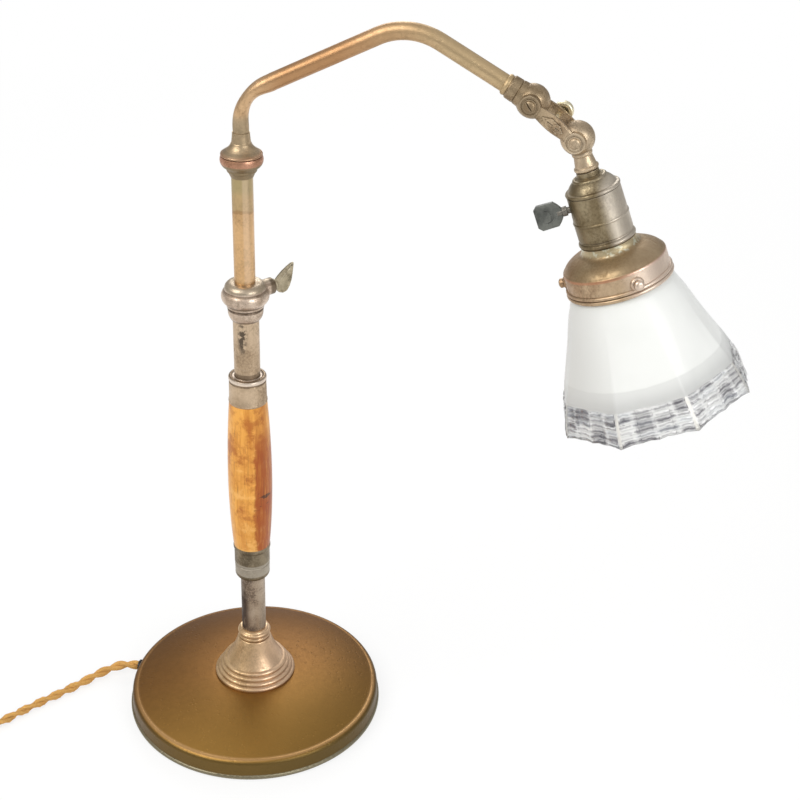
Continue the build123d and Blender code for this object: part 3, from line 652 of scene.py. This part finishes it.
def paint_foot_cover(colour):
    """Browner towards the back and left and darker at the right, as painted shade; lighter towards the front as
    painted light; a painted highlight along the edge; and a grey-green rim.
    """
    place = here(colour.tree)
    across = dot(place, (0.45, -0.9, 0.0))
    # Painted shade towards the back and left, and painted light towards the front.
    colour = wash(colour, across, 0.03, -0.09, 0.6, "5a3716")
    colour = wash(colour, across, -0.01, 0.08, 0.55, "a98440")
    # Painted shade at the right.
    colour = wash(colour, parts(place)[0], 0.015, 0.08, 0.45, "5f471f")
    radius = from_stem(colour.tree)
    # A painted highlight along the top edge, strongest at the front.
    painted_edge_highlight = ramp(radius, 0.0805, 0.0822) * ramp(radius, 0.0845, 0.0832) * ramp(across, -0.03, 0.05, 0.15, 0.55)
    colour = paint(colour, painted_edge_highlight, "c9a070")
    colour = wash(colour, radius, 0.0838, 0.0852, 0.65, "4d4428")
    return paint_bands(colour, "bronze")


def paint_foot(colour):
    """A rosy painted sheen at the right."""
    across = parts(here(colour.tree))[0]
    return wash(colour, across, -0.004, 0.016, 0.35, "d9b9a8")


def paint_lower_tube(colour):
    """Dark stains down the left side, thinning out upwards."""
    place = here(colour.tree)
    blots = noise(scaled(place, (1.0, 1.0, 0.45)), 95.0, 5.0, 0.6)
    left = ramp(dot(place, (1.0, -0.35, 0.0)), 0.0045, -0.001)
    low = height_band(colour.tree, 0.0, 80.0, 40.0, 20.0)
    return paint(colour, ramp(blots, 0.32, 0.5) * (low * left) * 0.88, "3a2c28")


def paint_outer_tube(colour):
    """A cluster of dark pits at the front close under the clamp collar; below, a painted highlight on a bright ring
    and painted shade in two dark rings.
    """
    place = here(colour.tree)
    apart = scaled(vectors("SUBTRACT", place, (0.0002, -0.0085, 0.288)), (1.1, 0.6, 0.3))
    pits = ramp(noise(place, 260.0, 4.0, 0.6), 0.4, 0.5) * ramp(length(apart), 0.0044, 0.0018)
    return paint_bands(paint(colour, pits * 0.9, "4c4238"), "worn_nickel")


def paint_collar(colour):
    """Painted shade in the dark grooves, and darker where the screw's boss stands out."""
    colour = paint_bands(colour, "collar_nickel")
    return wash(colour, from_stem(colour.tree), 0.016, 0.0178, 0.8, "54452f")


def paint_inner_tube(colour):
    """Greenish where hands seldom reach, at the top, down to a ragged line; clear gold below, with a pale painted
    highlight in a strip.
    """
    colour = paint_bands(colour, "tube_brass")
    across = dot(here(colour.tree), (0.9, -0.3, 0.0))
    painted_highlight_strip = ramp(across, 0.0032, 0.0042) * ramp(across, 0.0064, 0.0056)
    return paint(colour, painted_highlight_strip * 0.28, "ecd2b8")


def paint_arm(colour):
    """Coppery on the rise, olive-grey on the fall towards the knuckle, grey-green at the foot."""
    along = parts(here(colour.tree))[0]
    rising = ramp(along, 0.002, 0.03) * ramp(along, 0.098, 0.055)
    colour = paint(colour, rising * 0.9, "b0855c")
    colour = paint(colour, ramp(along, 0.085, 0.125) * 0.6, "bba984")
    return paint_bands(colour, "arm_bronze")


def from_head_pivot(tree):
    return vectors("SUBTRACT", here(tree), tuple(joint_place("head_tilt")))


def head_across(tree, lean=0.0):
    """Distance across the head's axis, to the right and as far to the front as lean says."""
    return dot(from_head_pivot(tree), (math.cos(HEAD_TILT), lean, math.sin(HEAD_TILT)))


def head_height(tree):
    """Distance down the head's own axis, in millimetres."""
    return dot(from_head_pivot(tree), (math.sin(HEAD_TILT) / MM, 0.0, -math.cos(HEAD_TILT) / MM))


def head_band(tree, low, high, softness):
    """1 between two distances down the head's axis."""
    height = head_height(tree)
    return ramp(height, low - softness, low) * ramp(height, high + softness, high)


def paint_knuckle(colour):
    """Darker on the arm's knuckle and paler on the head's."""
    along = parts(here(colour.tree))[0]
    colour = wash(colour, along, 0.181, 0.17, 0.55, "7b6a50")
    return wash(colour, along, 0.184, 0.194, 0.22, "e6d8c0")


def paint_socket(colour):
    """Darker and olive on the left as painted shade, and a pale painted sheen on the right."""
    across = head_across(colour.tree, -0.25)
    colour = wash(colour, across, 0.002, -0.009, 0.65, "66573a")
    return wash(colour, across, 0.007, 0.013, 0.6, "d4cbbf")


def paint_holder(colour):
    """Pale crusted neck, olive dome, copper line at the shoulder, a pinkish painted highlight on the skirt towards
    the right and painted shade towards the left.
    """
    tree = colour.tree
    colour = paint(colour, head_band(tree, 50.0, 63.5, 2.0) * 0.65, "bcb290")
    colour = paint(colour, head_band(tree, 65.0, 72.5, 2.0) * 0.55, "897550")
    colour = paint(colour, head_band(tree, 73.4, 74.4, 0.5) * 0.6, "bd8262")
    across = head_across(tree, -0.25)
    # A pinkish painted highlight on the skirt towards the right.
    skirt = ramp(head_height(tree), 72.8, 74.0, 0.12, 1.0)
    colour = paint(colour, ramp(across, 0.012, 0.027, 0.0, 0.6) * skirt, "ecdccf")
    # Painted shade towards the left.
    colour = wash(colour, across, -0.01, -0.024, 0.5, "957150")
    crust = ramp(noise(here(tree), 260.0, 4.0, 0.6), 0.52, 0.62) * head_band(tree, 50.0, 64.0, 2.0)
    return paint(colour, crust * 0.75, "cfd0bd")


METAL_PAINT = {
    "bronze": paint_foot_cover,
    "foot_brass": paint_foot,
    "knuckle_brass": paint_knuckle,
    "socket_bronze": paint_socket,
    "holder_bronze": paint_holder,
    "tarnished_nickel": paint_lower_tube,
    "worn_nickel": paint_outer_tube,
    "collar_nickel": paint_collar,
    "tube_brass": paint_inner_tube,
    "arm_bronze": paint_arm,
}


def old_metal(name):
    """A metal finish from its row of METALS, painted further by its own function or else in its bands."""
    material, tree, shader = new_material(name, Metallic=METALLIC)
    row = [colour_of(item) if isinstance(item, str) else item for item in METALS[name]]
    finish = use_group(tree, OLD_METAL, **dict(zip(METAL_COLOURS + METAL_AMOUNTS, row)))
    colour = finish["Colour"]
    colour = METAL_PAINT[name](colour) if name in METAL_PAINT else paint_bands(colour, name)
    send(colour, shader.inputs["Base Color"])
    rough = ramp(noise(here(tree), 700.0, 3.0), 0.3, 0.7, 0.4, 0.47) if name == "bronze" else finish["Roughness"]
    send(rough, shader.inputs["Roughness"])
    bump(shader, finish["Height"], 0.35, 0.0004)
    return material


# ---- other finishes

# Main and second colour, pattern scale, roughness, depth of the grain in metres, metallic.
SPECKLED = {
    "felt": ("3d4a35", "27301f", 500.0, 0.88, 0.0006, 0.0),
    "cast_iron": ("4a4644", "2c2826", 260.0, 0.55, 0.0005, 0.8),
    "key_bakelite": ("646660", "3a3c38", 110.0, 0.38, 0.00015, 0.0),
    "porcelain": ("ece8da", "cfc8b4", 60.0, 0.16, 0.00015, 0.0),
    "fibre": ("e2d7b4", "b8a67a", 120.0, 0.72, 0.00015, 0.0),
    "plug_black": ("2b2724", "171412", 80.0, 0.3, 0.00015, 0.0),
}


def wood_finish():
    material, tree, shader = new_material("amber_wood", Specular_IOR_Level=0.3, Coat_Weight=0.12, Coat_Roughness=0.2)
    colours = {"Light": colour_of("e6a54a"), "Deep": colour_of("c27c2a"), "Vein": colour_of("4e2a0e")}
    finish = use_group(tree, TURNED_WOOD, Scale=70.0, **colours)
    send(finish["Colour"], shader.inputs["Base Color"])
    send(finish["Roughness"], shader.inputs["Roughness"])
    bump(shader, finish["Height"], 0.35, 0.0003)
    return material


def cloth_finish():
    material, tree, shader = new_material("cord_cloth", Roughness=0.85)
    finish = use_group(tree, CLOTH_BRAID, Thread=colour_of("f6bd64"), Shadow=colour_of("b87a34"))
    send(finish["Colour"], shader.inputs["Base Color"])
    bump(shader, finish["Height"], 0.7, 0.0003)
    return material


def speckled_finish(name):
    """A dull solid material with a fine mottle of two colours, darker in its hollows."""
    first, second, scale, roughness, depth, metallic = SPECKLED[name]
    material, tree, shader = new_material(name, Metallic=metallic)
    place = here(tree)
    fine = noise(place, scale * 12.0, 3.0)
    mottle = ramp(noise(place, scale, 6.0, 0.6), 0.35, 0.68)
    colour = blend(mottle, colour_of(first), colour_of(second))
    marks = use_group(tree, CREVICE)
    colour = paint(colour, marks["Recess"] * 0.5, second)
    send(paint(colour, marks["Edge"] * 0.35, first), shader.inputs["Base Color"])
    send(fine * 0.12 + roughness, shader.inputs["Roughness"])
    bump(shader, fine, 0.4, depth)
    return material


def frosted_finish():
    """Etched white glass, greyer in a scalloped zone above the clear rim and at the neck, and greyer at the left as
    painted shade.
    """
    material, tree, shader = new_material("shade_frosted", Transmission_Weight=0.05, IOR=1.45, Coat_Weight=0.2)
    around, down = on_map(tree)
    edge = down + (around * FULL_TURN).math("COSINE") * 0.004
    grey = ramp(edge, 0.65, 0.664, 0.0, 0.26) + ramp(edge, 0.664, 0.79, 0.0, 0.4)
    place = here(tree)
    colour = blend(grey, colour_of("e9eae7"), colour_of("a2a2a1"))
    # Painted shade: greyer towards the left.
    colour = wash(colour, head_across(tree), 0.0, -0.036, 0.6, "c8c8c5")
    colour = wash(colour, noise(place, 30.0, 3.0), 0.45, 0.75, 0.25, "d8dad5")
    send(wash(colour, down, 0.22, 0.0, 0.5, "c9cec6"), shader.inputs["Base Color"])
    fine = noise(place, 900.0, 2.0)
    send(ramp(fine, 0.2, 0.8, 0.42, 0.58), shader.inputs["Roughness"])
    bump(shader, fine, 0.12, 0.0001)
    return material


def bulb_finish():
    """Clear glass with a faint waviness."""
    tint = colour_of("fbfbf8")
    material, tree, shader = new_material(
        "bulb_glass", Base_Color=tint, Transmission_Weight=1.0, IOR=1.5, Roughness=0.02
    )
    bump(shader, noise(here(tree), 160.0, 2.0), 0.25, 0.0006)
    return material


def prism_finish():
    """Clear pressed glass in little bricks, with the light it refracts painted in: each brick has its own grey,
    painted dark under its lower edge and light at its top, with painted glints at its posts and along the corner
    ridges.
    """
    material, tree, shader = new_material("shade_rim", Transmission_Weight=0.6, IOR=1.5, Roughness=0.06)
    around, down = on_map(tree)
    place = here(tree)
    drift = (noise(place, 130.0, 3.0, 0.6) - 0.5) * 1.5
    rows = (down - RIM_START) * (RIM_ROWS / (1.0 - RIM_START)) + drift
    columns = around * float(COLUMNS_PER_PANEL)
    block = cell_of(tree, columns, rows)
    inside = rows.math("FRACT")
    # Painted light and dark bands across each brick, and painted glints at its posts.
    painted_glint_bands = ramp(inside, 0.42, 0.12).most(ramp(inside, 0.62, 0.92))
    shade = painted_glint_bands * 0.6 + ramp(block["Value"], 0.15, 0.85, -0.15, 0.45)
    post = (columns.math("FRACT") - 0.5).math("ABSOLUTE")
    shade = shade + ramp(post, 0.34, 0.46, 0.0, 0.35)
    corner = (around.math("FRACT") - 0.5).math("ABSOLUTE") + drift * 0.06
    # A painted glint along each corner ridge.
    ridge = ramp(corner, 0.41, 0.455)
    shade = shade + ramp(cell_of(tree, around)["Value"], 0.1, 0.9, -0.12, 0.25)
    shade = shade.most(ridge).math("MINIMUM", 1.0)
    colour = blend(shade, colour_of("6a686e"), colour_of("fbfbf9"))
    colour = paint(colour, ridge * 0.8, "f3efe6")
    send(wash(colour, block["Color"], 0.6, 0.8, 0.15, "cfdbe6"), shader.inputs["Base Color"])
    bump(shader, noise(place, 240.0, 2.0), 0.35, 0.0006)
    return material


# One material for each of the record's slots, the thumbscrew's leaf and the shade's rim.
FINISHES = {name: old_metal(name) for name in METALS}
FINISHES["amber_wood"] = wood_finish()
FINISHES["cord_cloth"] = cloth_finish()
FINISHES.update({name: speckled_finish(name) for name in SPECKLED})
FINISHES["shade_glass"] = frosted_finish()
FINISHES["shade_rim"] = prism_finish()
FINISHES["bulb_glass"] = bulb_finish()


def dress_nodes():
    """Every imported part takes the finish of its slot."""
    for subpart in frame["record"]["subparts"]:
        for holder in nodes[subpart["node"]].material_slots:
            holder.material = FINISHES[subpart["material_slot"]]


# ---- glass shade

# The neck's outline above the bell, outside and inside, as (distance from the axis, height).
SHADE_NECK = ((27.1, 76.8), (28.0, 77.4), (28.0, 78.1), (27.4, 78.8), (27.4, 82.0), (27.4, 85.2), (28.0, 86.8))
SHADE_THROAT = ((24.4, 84.8), (23.6, 82.0), (23.5, 78.0), (24.0, 76.9))
BELL_HEIGHTS = (88.2, 91.0, 95.0, 99.0, 103.0, 107.0, 111.0, 115.0, 119.0, 123.0, 127.0, 131.0, 135.0, 138.5, 141.5)
# How much narrower than the mouth the lip's outer and inner edge are, and how much lower they lie.
LIP = ((0.9, 0.35), (SHADE_WALL - 0.5, 0.2))
INNER_HEIGHTS = (161.5, 157.0, 152.0, 147.0, 142.0, 136.0, 130.0, 124.0, 118.0, 112.0, 106.0, 100.0, 94.0, 89.0)
PANELS_BELOW = 87.5
# How far the ridge at each corner and the fold in each panel's middle stand out in mm, and how wide they are as
# shares of half a panel.
RIDGE, RIDGE_WIDTH = 0.55, 0.05
FOLD, FOLD_WIDTH = 0.8, 0.1
# Where ridges and folds, and then the edge's waves, begin, and over what height they grow.
FOLDS_BELOW = 100.0
FOLDS_REACH = 40.0
WAVES_BELOW = 155.0
WAVES_REACH = 8.0
# Millimetres by which the edge hangs lower at corners and higher between them, and its waves' share of that.
CORNER_DROP = 0.9
EDGE_LIFT = 0.35
EDGE_WAVE = 0.55
BLOCK_JOINT = 0.42
BLOCK_LIFT = 0.55
LIFT_VARIES = 0.25


def station_at(height):
    """Half width and corner softness of the shade at a height, smooth through its stations."""
    rows = SHADE_STATIONS
    height = min(max(height, rows[0][0]), rows[-1][0])
    at = next((i for i in range(len(rows) - 1) if height <= rows[i + 1][0]), len(rows) - 2)
    share = (height - rows[at][0]) / (rows[at + 1][0] - rows[at][0])
    before, after = rows[max(at - 1, 0)], rows[min(at + 2, len(rows) - 1)]
    result = []
    for column in (1, 2):
        p0, p1, p2, p3 = before[column], rows[at][column], rows[at + 1][column], after[column]
        bent = (2 * p0 - 5 * p1 + 4 * p2 - p3) * share + (3 * p1 - p0 - 3 * p2 + p3) * share * share
        result.append(p1 + 0.5 * share * (p2 - p0 + bent))
    return result


def panel_reach(flat, softness, off_middle):
    """Distance from the axis to a rounded eight-sided section, at an angle off a panel's middle."""
    corner = softness * flat
    straight = math.atan((flat - corner) * math.tan(HALF_PANEL) / flat)
    if abs(off_middle) <= straight:
        return flat / math.cos(off_middle)
    centre = (flat - corner) / math.cos(HALF_PANEL)
    lean = HALF_PANEL - abs(off_middle)
    return centre * math.cos(lean) + math.sqrt(max(corner * corner - (centre * math.sin(lean)) ** 2, 0.0))


def shade_profile():
    """Outline of the glass as (distance from the axis, height): neck, bell, rim and the inside back up."""
    step = (SHADE_MOUTH - RIM_TOP) / RIM_ROWS
    heights = BELL_HEIGHTS + tuple(RIM_TOP + step * row for row in range(RIM_ROWS + 1))
    outer = [(station_at(height)[0], height) for height in heights]
    widest = station_at(SHADE_MOUTH)[0]
    lip = [(widest - narrower, SHADE_MOUTH + lower) for narrower, lower in LIP]
    inner = [(station_at(height)[0] - SHADE_WALL, height) for height in INNER_HEIGHTS]
    return [*SHADE_NECK, *outer, *lip, *inner, *SHADE_THROAT]


def shape_shade(bm):
    """Turns the spun bell into eight panels with a ridge at each corner, a soft fold in each and a wavy edge."""
    for vert in bm.verts:
        spun_to = math.atan2(vert.co.y, vert.co.x) % FULL_TURN
        column = round(spun_to / FULL_TURN * SHADE_STEPS) % SHADE_STEPS
        panel, step = divmod(column, len(PANEL_STEPS))
        angle = SHADE_TURN + 2 * HALF_PANEL * (panel + PANEL_STEPS[step])
        off_middle = 2 * HALF_PANEL * (PANEL_STEPS[step] - 0.5)
        radius, height = math.hypot(vert.co.x, vert.co.y), vert.co.z
        reach = radius
        if height > PANELS_BELOW:
            flat, softness = station_at(height)
            inset = flat - radius
            reach = panel_reach(flat, softness, off_middle) - inset
            spread = min(max((height - FOLDS_BELOW) / FOLDS_REACH, 0.0), 1.0)
            side = abs(off_middle) / HALF_PANEL
            if inset < 0.5:
                ridge = RIDGE * math.exp(-(((1.0 - side) / RIDGE_WIDTH) ** 2))
                fold = FOLD * math.exp(-((side / FOLD_WIDTH) ** 2)) * spread
                reach += spread * (ridge + fold)
            if height > WAVES_BELOW:
                wave = EDGE_WAVE * math.cos(FULL_TURN * COLUMNS_PER_PANEL * (PANEL_STEPS[step] - 0.5) / BLOCKS_SPAN)
                low = (height - WAVES_BELOW) / WAVES_REACH
                height += low * (CORNER_DROP * side**4 - EDGE_LIFT + EDGE_LIFT * wave)
        vert.co = Vector((reach * math.cos(angle), reach * math.sin(angle), height))


def map_shade(bm):
    """Maps the spun bell by panel and height, marks its rim, and returns the rim's blocks of faces."""
    uv = bm.loops.layers.uv.new("UVMap")
    row_height = (SHADE_MOUTH - RIM_TOP) / RIM_ROWS
    blocks = {}
    for face in bm.faces:
        middle = face.calc_center_median()
        angle = math.atan2(middle.y, middle.x) % FULL_TURN
        column = int(angle / FULL_TURN * SHADE_STEPS)
        step = column % len(PANEL_STEPS)
        outside = face.normal.dot(Vector((middle.x, middle.y, 0.0))) > 0
        if outside and RIM_TOP < middle.z < SHADE_MOUTH and 0 < step < len(PANEL_STEPS) - 1:
            place = (column - step + (step + 1) // 2, int((middle.z - RIM_TOP) / row_height))
            blocks.setdefault(place, []).append(face)
        face.material_index = 1 if middle.z > RIM_TOP else 0
        for loop in face.loops:
            turn = math.atan2(loop.vert.co.y, loop.vert.co.x) % FULL_TURN / FULL_TURN * SHADE_PANELS
            if turn < 0.5 and angle > math.pi:
                turn += SHADE_PANELS
            loop[uv].uv = (turn, (loop.vert.co.z - SHADE_TOP) / (SHADE_MOUTH - SHADE_TOP))
    return blocks


def raise_blocks(bm, blocks):
    """Raises the rim's blocks, each a pair of faces set in from its neighbours."""
    settings = {"thickness": BLOCK_JOINT, "depth": 0.0, "use_even_offset": True, "use_boundary": True}
    for (across, down), faces in sorted(blocks.items()):
        bmesh.ops.inset_region(bm, faces=faces, **settings)
        lift = BLOCK_LIFT + LIFT_VARIES * math.sin(across * 2.1 + down * 1.3)
        for vert in {vert for face in faces for vert in face.verts}:
            vert.co += Vector((vert.co.x, vert.co.y, 0.0)).normalized() * lift


def make_shade():
    bm = bmesh.new()
    spin_outline(bm, shade_profile(), SHADE_STEPS)
    bmesh.ops.recalc_face_normals(bm, faces=bm.faces)
    blocks = map_shade(bm)
    shape_shade(bm)
    raise_blocks(bm, blocks)
    bmesh.ops.recalc_face_normals(bm, faces=bm.faces)
    shade = finish_mesh("glass_shade", bm, FINISHES["shade_glass"], FINISHES["shade_rim"], matrix=head_matrix())
    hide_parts("shade")
    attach(shade, "head")


# ---- turned and small pieces

# (Radius, height) in millimetres, on the stem's axis.
FERRULE_PROFILE = (
    (9.6, 240.0), (12.1, 240.0), (12.35, 240.7), (12.35, 241.6), (12.0, 242.2), (11.9, 248.0), (11.75, 254.6),
    (11.45, 255.0), (11.45, 255.6), (11.8, 255.9), (12.05, 256.6), (12.05, 257.6), (11.8, 258.3), (11.2, 258.7),
    (10.2, 258.8), (9.7, 258.3), (9.1, 258.1), (8.15, 258.1), (8.15, 266.0), (7.6, 266.0), (7.6, 254.6),
    (9.6, 254.0),
)
# Pin, flange and neck of the thumbscrew, as (radius, distance out from the stem's axis).
THUMB_STEM = (
    (0.0, 6.9), (2.0, 6.9), (2.0, 20.9), (3.4, 20.9), (3.7, 21.3), (3.7, 22.0), (3.4, 22.4), (2.6, 22.5),
    (1.2, 22.9), (0.0, 23.0),
)
# Outline of its leaf, as (distance out, height above the screw's axis).
THUMB_LEAF = (
    (21.6, -0.8), (22.4, -3.2), (24.4, -5.2), (27.2, -6.0), (29.8, -4.8), (31.6, -1.6), (32.8, 2.2),
    (33.5, 6.4), (34.1, 11.2), (34.3, 13.4), (32.4, 12.8), (29.6, 10.8), (26.6, 8.2), (24.2, 5.6), (22.4, 3.4),
    (21.6, 2.2),
)
THUMB_ANGLE = math.radians(55.0)
THUMB_BEND = math.radians(-18.0)
LEAF_HALF = 1.1
# Width of each inset of the leaf's faces, and how far it is then moved out: in for a dish, back for a midrib.
LEAF_STEPS = ((0.8, -0.35), (1.6, 0.45))


def make_upper_ferrule():
    """Ferrule over the top of the grip, with a rolled ring that the tube stands in."""
    bm = bmesh.new()
    spin_outline(bm, FERRULE_PROFILE, 128)
    bmesh.ops.recalc_face_normals(bm, faces=bm.faces)
    soften(bm, 35.0, 0.15, 2)
    ferrule = finish_mesh("upper_ferrule_ring", bm, FINISHES["worn_nickel"], matrix=Matrix.Scale(MM, 4))
    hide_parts("upper_ferrule")
    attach(ferrule, "base")


def thumb_matrix():
    """From the thumbscrew's own axis, out of the collar along Z with X upright, to the lamp's frame."""
    pivot = joint_place("clamp_screw_turn")
    pivot.x = pivot.y = 0.0
    out = Vector((math.cos(THUMB_ANGLE), math.sin(THUMB_ANGLE), 0.0))
    up = Vector((0.0, 0.0, 1.0))
    turn = Matrix((up, out.cross(up), out)).transposed()
    return Matrix.Translation(pivot) @ turn.to_4x4() @ Matrix.Scale(MM, 4)


def add_leaf(bm):
    """A leaf with both faces dished inside a raised rim and crowned along a midrib, bent at its neck."""
    outline = [bm.verts.new((height, 0.0, out)) for out, height in THUMB_LEAF]
    face = bm.faces.new(outline)
    grown = bmesh.ops.extrude_face_region(bm, geom=[face])["geom"]
    far = [item for item in grown if isinstance(item, bmesh.types.BMVert)]
    bmesh.ops.translate(bm, verts=far, vec=(0.0, LEAF_HALF, 0.0))
    bmesh.ops.translate(bm, verts=outline, vec=(0.0, -LEAF_HALF, 0.0))
    flats = [item for item in grown if isinstance(item, bmesh.types.BMFace)] + [face]
    for flat in flats:
        side = 1.0 if flat.calc_center_median().y > 0 else -1.0
        for width, move in LEAF_STEPS:
            bmesh.ops.inset_region(bm, faces=[flat], thickness=width, depth=0.0, use_even_offset=True)
            bmesh.ops.translate(bm, verts=flat.verts, vec=(0.0, move * side, 0.0))
    blade = {vert for flat in flats for vert in flat.verts}
    for _ in LEAF_STEPS:
        blade |= {vert for edge in bm.edges for vert in edge.verts if edge.other_vert(vert) in blade}
    hinge = (0.0, 0.0, THUMB_LEAF[0][0])
    bmesh.ops.rotate(bm, verts=list(blade), cent=hinge, matrix=Matrix.Rotation(THUMB_BEND, 3, "X"))


def make_thumbscrew():
    """Pin, flange and neck turned as one, with the leaf that it is turned by."""
    bm = bmesh.new()
    spin_outline(bm, THUMB_STEM, 40, closed=False)
    bmesh.ops.remove_doubles(bm, verts=bm.verts, dist=0.001)
    add_leaf(bm)
    bmesh.ops.recalc_face_normals(bm, faces=bm.faces)
    soften(bm, 60.0, 0.3, 3)
    screw = finish_mesh("clamp_leaf_screw", bm, FINISHES["thumb_nickel"], matrix=thumb_matrix())
    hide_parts("clamp_thumbscrew")
    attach(screw, "clamp_screw")


# ---- surroundings

FLOOR_REACH = 6.0
PAPER = (0.92, 0.92, 0.915, 1.0)


def floor_paper():
    """White paper that is near white to the eye and in reflections, and keeps the lamp's shadow."""
    material, tree, shader = new_material("floor_paper", Roughness=0.9, Base_Color=PAPER)
    rays = put(tree, "LightPath")
    seen = rays["Is Camera Ray"].most(rays["Is Glossy Ray"]).most(rays["Is Transmission Ray"])
    glow = put(tree, "Emission", {"Color": WHITE, "Strength": 1.0})
    share = seen * ramp(from_stem(tree), 0.45, 1.6, 0.78, 1.0)
    mixed = put(tree, "MixShader", {0: share, 1: Value(shader.outputs[0]), 2: glow[0]})
    send(mixed[0], tree.nodes["Material Output"].inputs["Surface"])
    return material


def make_floor():
    bm = bmesh.new()
    bmesh.ops.create_grid(bm, x_segments=1, y_segments=1, size=FLOOR_REACH)
    floor = finish_mesh("floor", bm, floor_paper(), smooth=False)


def set_world():
    """A soft white room, dimmer towards its walls, and plain white where it is seen directly."""
    world = bpy.data.worlds.new("studio")
    world.use_nodes = True
    tree = world.node_tree
    height = parts(put(tree, "TexCoord")["Generated"])[2]
    rays = put(tree, "LightPath")
    seen = rays["Is Camera Ray"].most(rays["Is Transmission Ray"])
    background = tree.nodes["Background"].inputs
    background["Color"].default_value = WHITE
    send(ramp(height, -0.1, 0.8, 0.3, 0.66).most(seen), background["Strength"])
    scene.world = world
    scene.view_settings.view_transform = "Standard"


set_camera()
set_lights()
set_world()
make_floor()
dress_nodes()
make_cord()
make_shade()
make_upper_ferrule()
make_thumbscrew()
